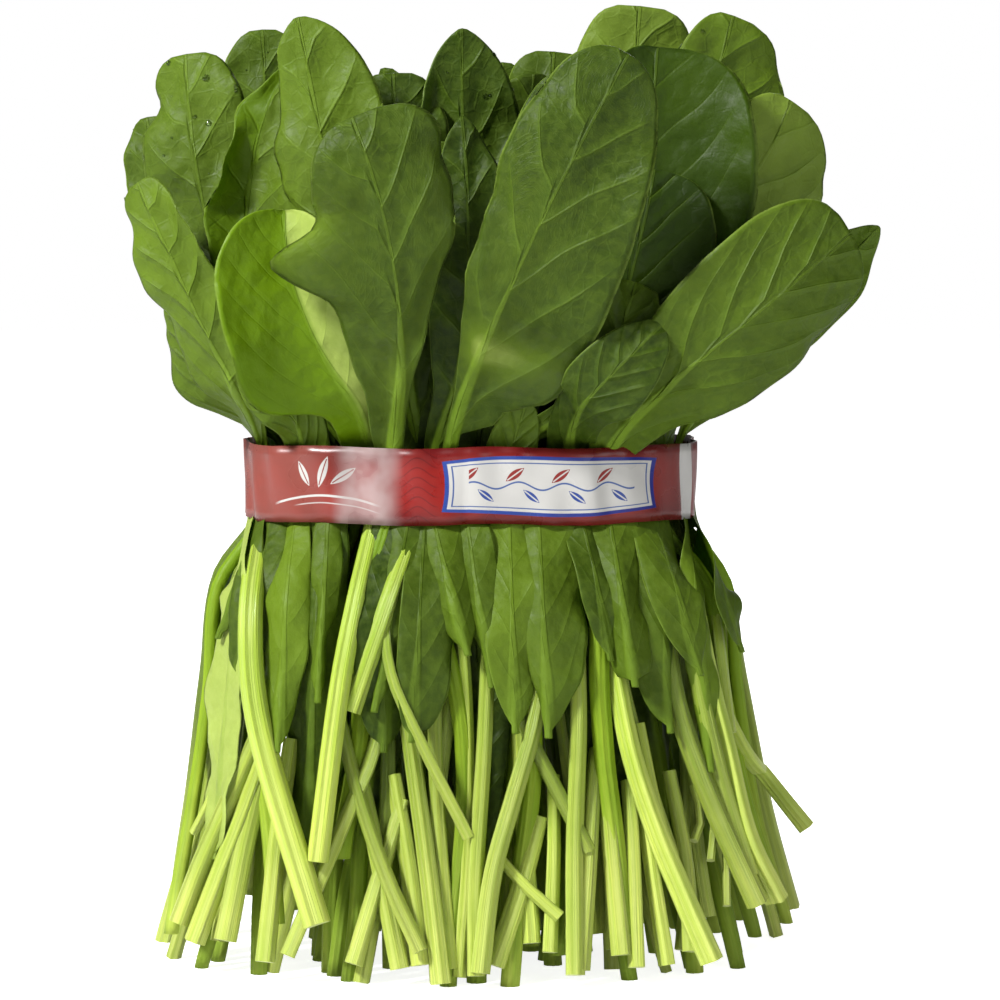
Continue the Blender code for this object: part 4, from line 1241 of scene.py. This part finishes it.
def front_paths():
    paths = []
    for corners, half, turn in FRONT_STEMS:
        x, z, out = np.array(corners, float).T * MM
        at = np.linspace(0, 1, len(corners))
        fine = np.linspace(0, 1, 30)
        x, z, out = (along(at, values, fine) for values in (x, z, out))
        y = front_of_bunch(x, z, out)
        radii = half * MM * (0.9 + 0.2 * fine)
        paths.append((np.stack((x, y, z), axis=1), radii, math.radians(turn)))
    return paths


# Loose stems further in: their shell, how many stand round it, how far from the middle of the front they
# begin, in percent, and the height up to which they stand, mm.
INNER_STEMS = (
    (7.2, 16, 27, 122), (6.5, 20, 0, 104), (5.6, 18, 0, 122), (4.6, 15, 0, 122),
    (3.5, 11, 0, 122), (2.4, 7, 0, 122), (0.8, 5, 0, 122),
)
STEMS_ON_THE_GROUND = 0.35


def inner_paths():
    chance = random.Random(21)
    paths = []
    for shell, count, hidden, stands in INNER_STEMS:
        for i in range(count):
            place = 100 * (i + chance.uniform(0.1, 0.9)) / count
            foot = 0.0 if chance.random() < STEMS_ON_THE_GROUND else chance.uniform(0.5, 16)
            if hidden < place < 100 - hidden or not hidden:
                paths.append(loose_stem(chance, shell, place, foot, stands))
    return paths


# Blades that hang down from the tie, in mm: height of the lower end; x there and at the tie; how far the
# blade stands off; how wide it is left and right of its midrib; the share, from the lower end up, where it
# is fullest; blunt: high for a pointed lower end, low for a round one; and how pale it is, its own tone with
# painted light and shade in it.
HANGING = {
    "far_left": (84, -65, -52, 5, (5, 6), 0.42, 0.8, 0.5),
    "left": (74, -60, -49, 4, (7, 7), 0.40, 0.8, 0.3),
    "left_pale": (58, -50, -45, 9, (7, 6), 0.42, 0.8, 1.0),
    "left_low": (30, -66, -56, 2, (8, 7), 0.35, 0.5, 1.9),
    "left_narrow": (70, -40, -37, 7, (4, 4), 0.42, 0.8, 0.5),
    "left_dark": (34, -43, -38, 0, (10, 10), 0.38, 0.6, 0.2),
    "middle_dark": (58, -24, -20, 4, (9, 8), 0.38, 0.8, 0.02),
    "middle_one": (68, -26, -15, 7, (6, 7), 0.50, 0.8, 0.35),
    "middle_point": (61, -17, -13, 9, (5, 9), 0.32, 0.9, 0.3),
    "middle_two": (82, -4, -15, 9, (7, 8), 0.45, 0.7, 0.55),
    "middle_three": (74, 2, -6, 7, (6, 6), 0.42, 0.8, 0.45),
    "middle_four": (63, 8, 6, 8, (7, 8), 0.45, 0.8, 0.9),
    "right_folded": (62, 16, 13, 9, (5, 12), 0.45, 0.9, 0.65),
    "right_between": (80, 31, 22, 4, (5, 5), 0.45, 0.7, 0.25),
    "right_round": (74, 37, 29, 9, (8, 8), 0.36, 0.35, 0.55),
    "right_two": (62, 46, 42, 5, (10, 9), 0.42, 0.8, 0.45),
    "right_near": (76, 53, 38, 9, (8, 8), 0.46, 0.8, 0.6),
    "right_pale": (52, 56, 49, 6, (4, 4), 0.50, 0.5, 1.0),
    "far_right": (80, 64, 49, 6, (7, 7), 0.42, 0.7, 0.45),
}
HANG_FROM = 127           # all of them come out from under the tie, which ends lower
HANG_FLAT = 94 * MM       # from this height up they lose their fold
HANG_FLAT_OVER = 14 * MM
HANG_END = 2              # height of the little that is left of the stalk
HANG_FOLDS = (-26, 8, -12, 18, -34)  # how far one after another is folded along its midrib, degrees
HANG_TURNS = (-14, 20, 4, -24, 12, -4, 26)  # and turned to one side

# More leaves, only for looks, between the shells, all standing on the ground: shell, places, blade, half and
# tone_and_painted_light as above, with no blade for those that are free above the tie. FINISH says how some
# of them differ. The deep ones are nearly black: dark leaves put as painted shade in the gaps of the bunch.
EXTRA = {
    "deep_under_1": ((6.3, 6.3), (-15.6, -14.0, -13.6), (22, 120), 11, 0.05),
    "deep_under_2": ((6.3, 6.3), (-6.4, -6.0, -5.6), (30, 122), 11, 0.05),
    "deep_under_3": ((6.4, 6.4), (0.4, 0.8, 1.2), (26, 118), 10, 0.05),
    "deep_under_4": ((6.3, 6.3), (8.6, 8.2, 8.0), (30, 122), 11, 0.05),
    "deep_under_5": ((6.3, 6.3), (15.6, 15.0, 14.6), (28, 120), 11, 0.05),
    "deep_left": ((5.5, 4.2), (-8.0, -7.0, -7.6), (46, 197), 15, 0.05),
    "deep_middle": ((5.5, 4.2), (0.0, 0.6, 3.4), (42, 194), 15, 0.05),
    "deep_right": ((5.5, 3.9), (14.0, 13.6, 14.4), (46, 206), 16, 0.05),
    "deep_far_left": ((5.5, 4.4), (-17.0, -17.0, -17.4), (44, 196), 14, 0.05),
    "deep_far_right": ((5.5, 4.0), (20.0, 20.0, 21.4), (42, 200), 15, 0.05),
    "far_left": ((5.5, 5.6), (-26, -24, -24), None, 12, 0.4),
    "middle_right": ((3.5, 3.6), (3, 3, 3), None, 12, 0.35),
    "middle_back": ((1.5, 1.6), (2, 2, 2), None, 12, 0.2),
    "crown_left": ((3.5, 3.4), (-13.0, -13.0, -14.6), (82, 226), 15, 0.2),
    "crown_right": ((3.5, 3.2), (7.0, 6.6, 7.4), (82, 222), 15, 0.2),
    "crown_far_right": ((3.5, 3.4), (18.0, 18.0, 20.4), (82, 230), 16, 0.2),
    "crown_back": ((2.5, 2.6), (26.0, 28.0, 30.0), (82, 232), 16, 0.2),
    "crown_back_left": ((2.5, 2.6), (75.0, 76.0, 75.0), (82, 228), 16, 0.2),
    "heart_one": ((0.5, 0.8), (35.0, 36.0, 36.0), (82, 228), 14, 0.2),
    "heart_two": ((0.5, 0.8), (85.0, 86.0, 86.0), (82, 224), 14, 0.2),
    "heart_three": ((1.4, 1.6), (-10.0, -8.0, -8.0), (82, 222), 15, 0.2),
}
WET = ("left_shiny", "left_edge_on", "left_back_top", "middle_tall", "right_top")  # leaves with drops on them


def build_tie(material):
    """A thin strip, slightly slack between the stems behind it, lapped at the back."""
    turn = np.arange(TIE_STEPS) / TIE_STEPS * 100.0
    bulge = 0.25 * np.sin(turn * 0.9 + 1.0) + 0.18 * np.sin(turn * 2.3 + 0.4)
    rows = np.linspace(-0.5, 0.5, 9) * TIE_TALL
    lapped = (turn >= TIE_LAP[0]) & (turn <= TIE_LAP[1])
    reach = (turn / 100 * ROUND + ROUND / 2) % ROUND - ROUND / 2
    across = reach * TIE_INSIDE / MM
    points, maps = [], []
    outside = TIE_INSIDE + bulge * MM + TIE_THICK * np.where(lapped, 2, 1)
    for side, radius in ((1, outside), (-1, TIE_INSIDE + bulge * MM)):
        for z in rows[::side]:
            slack = 0.35 * MM * np.sin(turn * 1.7 + z * 200)
            wave = 0.3 * MM * np.sin(turn * 0.5 + 0.8)
            points.append(in_bunch(turn, TIE_HEIGHT + z + wave + 0 * turn, radius + slack))
            maps.append(np.stack((across, np.full(TIE_STEPS, z / MM), np.full(TIE_STEPS, side)), axis=1))
    points, maps = np.array(points), np.array(maps)
    low = np.arange(len(points))[:, None] * TIE_STEPS + np.arange(TIE_STEPS)[None, :]
    right = np.roll(low, -1, axis=1)
    quads = np.stack((low, right, np.roll(right, -1, axis=0), np.roll(low, -1, axis=0)), axis=-1)
    attributes = {"tie_map": maps.reshape(-1, 3)}
    none = np.zeros((0, 3), int)
    return mesh_from("printed_tie", points.reshape(-1, 3), quads.reshape(-1, 4), none, attributes, material)


# ---------------------------------------------------------------------------------------------------------
# Everything in its place
# ---------------------------------------------------------------------------------------------------------

def build_bunch():
    leaf_skin = leaf_material()
    rows = all_rows()
    in_shell = [sum(row["shell"][0] == shell for row in rows.values()) for shell in range(OUTER_SHELL + 1)]
    leaves = {}
    for number, (name, row) in enumerate(rows.items()):
        leaf = Leaf(in_shell[row["shell"][0]], seed=number, **{**row, **FINISH.get(name, {})})
        made = build_leaf(name + "_spinach_leaf", leaf, leaf_skin)
        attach(made, "root")
        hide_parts(name)
        leaves[name] = made
    for number, (name, (shell, places, blade, half, tone_and_painted_light)) in enumerate(EXTRA.items()):
        neighbours = max(in_shell[int(shell[0])], 3)
        finish = FINISH.get(name, {})
        leaf = Leaf(neighbours, shell, 0, places, half, blade, tone_and_painted_light=tone_and_painted_light, seed=200 + number, **finish)
        made = build_leaf(name + "_spinach_leaf", leaf, leaf_skin)
        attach(made, "root")
    for number, (name, (low, at_low, at_tie, out, wide, fullest, blunt, tone_and_painted_light)) in enumerate(HANGING.items()):
        line = ((low, at_low, out), (109, (at_low + 2 * at_tie) / 3, 3), (HANG_FROM, at_tie, -4))
        leaf = Leaf(
            3, shell=(7, 7), foot=low - HANG_END, places=(0, 0, 0), half=4, blade=(low, HANG_FROM), line=line,
            sides=tuple((side, fullest) for side in wide), blunt=blunt, tone_and_painted_light=tone_and_painted_light, cup=-26, wave=0.9,
            fold=HANG_FOLDS[number % len(HANG_FOLDS)], yaw=(0, HANG_TURNS[number % len(HANG_TURNS)]),
            veins=0.2, stout=0.35, seed=300 + number
        )
        made = build_leaf(name + "_hanging_blade", leaf, leaf_skin)
        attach(made, "root")
    stem_skin, sweep = stem_material(), stem_tree()
    # how light and dark each group's stems may be: the front ones vary at random, the inner ones are darker
    # as painted shade
    groups = (("front", front_paths(), 0.0, 0.70), ("inner", inner_paths(), 0.35, 1.0))
    for name, paths, light, dark in groups:
        stems = sweep_stems(name + "_spinach_stems", paths, light, dark, stem_skin, sweep)
        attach(stems, "root")
    tie = build_tie(tie_material())
    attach(tie, "root")
    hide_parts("tie")
    water, scatter = water_material(), drop_tree()
    for seed, name in enumerate(WET):
        source = leaves[name].copy()
        bpy.context.scene.collection.objects.link(source)
        source.parent = None
        mesh = evaluated(source, scatter, {"Seed": seed, "Material": water})
        wet = added("water_drops_on_" + name, mesh)
        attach(wet, "root")


FLOOR_REACH = 6.0
FLOOR_GLOW = (0.22, 0.86)     # its own light: on what stands on it, and as the camera sees it
WORLD_GLOW = (0.18, 1.0)      # the same for the space around
LAMPS_AIM = (0.0, 0.0, 0.13)
LAMPS = (                     # place, size and power
    ("key", (-0.95, -0.72, 1.10), 0.30, 41.0),
    ("fill", (0.8, -1.1, 0.5), 0.8, 4.0),
    ("back", (0.3, 1.2, 0.9), 0.8, 8.0),
)
LENS, SENSOR = 140.0, 36.0
CAMERA_AIM = Vector((4.3, 0.7, 113.8)) * MM
CAMERA_LIFT = math.radians(4.0)


def turn_to(made, aim):
    made.rotation_euler = (Vector(aim) - made.location).to_track_quat("-Z", "Y").to_euler()


def light_two_ways(tree, socket, strengths):
    """One strength for the light that falls on things, another for what the camera sees."""
    strength = tree.nodes.new("ShaderNodeMapRange")
    strength.inputs["To Min"].default_value, strength.inputs["To Max"].default_value = strengths
    seen = tree.nodes.new("ShaderNodeLightPath").outputs["Is Camera Ray"]
    tree.links.new(seen, strength.inputs["Value"])
    tree.links.new(strength.outputs[0], socket)


def build_studio():
    data = bpy.data.meshes.new("floor")
    far = FLOOR_REACH
    data.from_pydata([(-far, -far, 0), (far, -far, 0), (far, far, 0), (-far, far, 0)], [], [(0, 1, 2, 3)])
    pale = Shader("pale floor")
    white = (1.0, 1.0, 1.0, 1.0)
    pale.surface({"Base Color": (0.80, 0.80, 0.80, 1.0), "Roughness": 0.6, "Emission Color": white})
    light_two_ways(pale.tree, pale.skin.inputs["Emission Strength"], FLOOR_GLOW)
    data.materials.append(pale.material)
    added("floor", data)
    world = bpy.data.worlds.new("studio")
    bpy.context.scene.world = world
    world.use_nodes = True
    backdrop = world.node_tree.nodes["Background"]
    backdrop.inputs["Color"].default_value = white
    light_two_ways(world.node_tree, backdrop.inputs["Strength"], WORLD_GLOW)
    for name, place, size, power in LAMPS:
        light = bpy.data.lights.new(name, "AREA")
        light.shape, light.size, light.energy = "DISK", size, power
        lamp = added(name, light)
        lamp.location = place
        turn_to(lamp, LAMPS_AIM)
    eye = bpy.data.cameras.new("camera")
    eye.lens, eye.sensor_width = LENS, SENSOR
    camera = added("camera", eye)
    camera.location = CAMERA_AIM + Vector((0.0, -math.cos(CAMERA_LIFT), math.sin(CAMERA_LIFT)))
    turn_to(camera, CAMERA_AIM)
    bpy.context.scene.camera = camera
    bpy.context.scene.view_settings.view_transform = "Standard"


build_bunch()
build_studio()
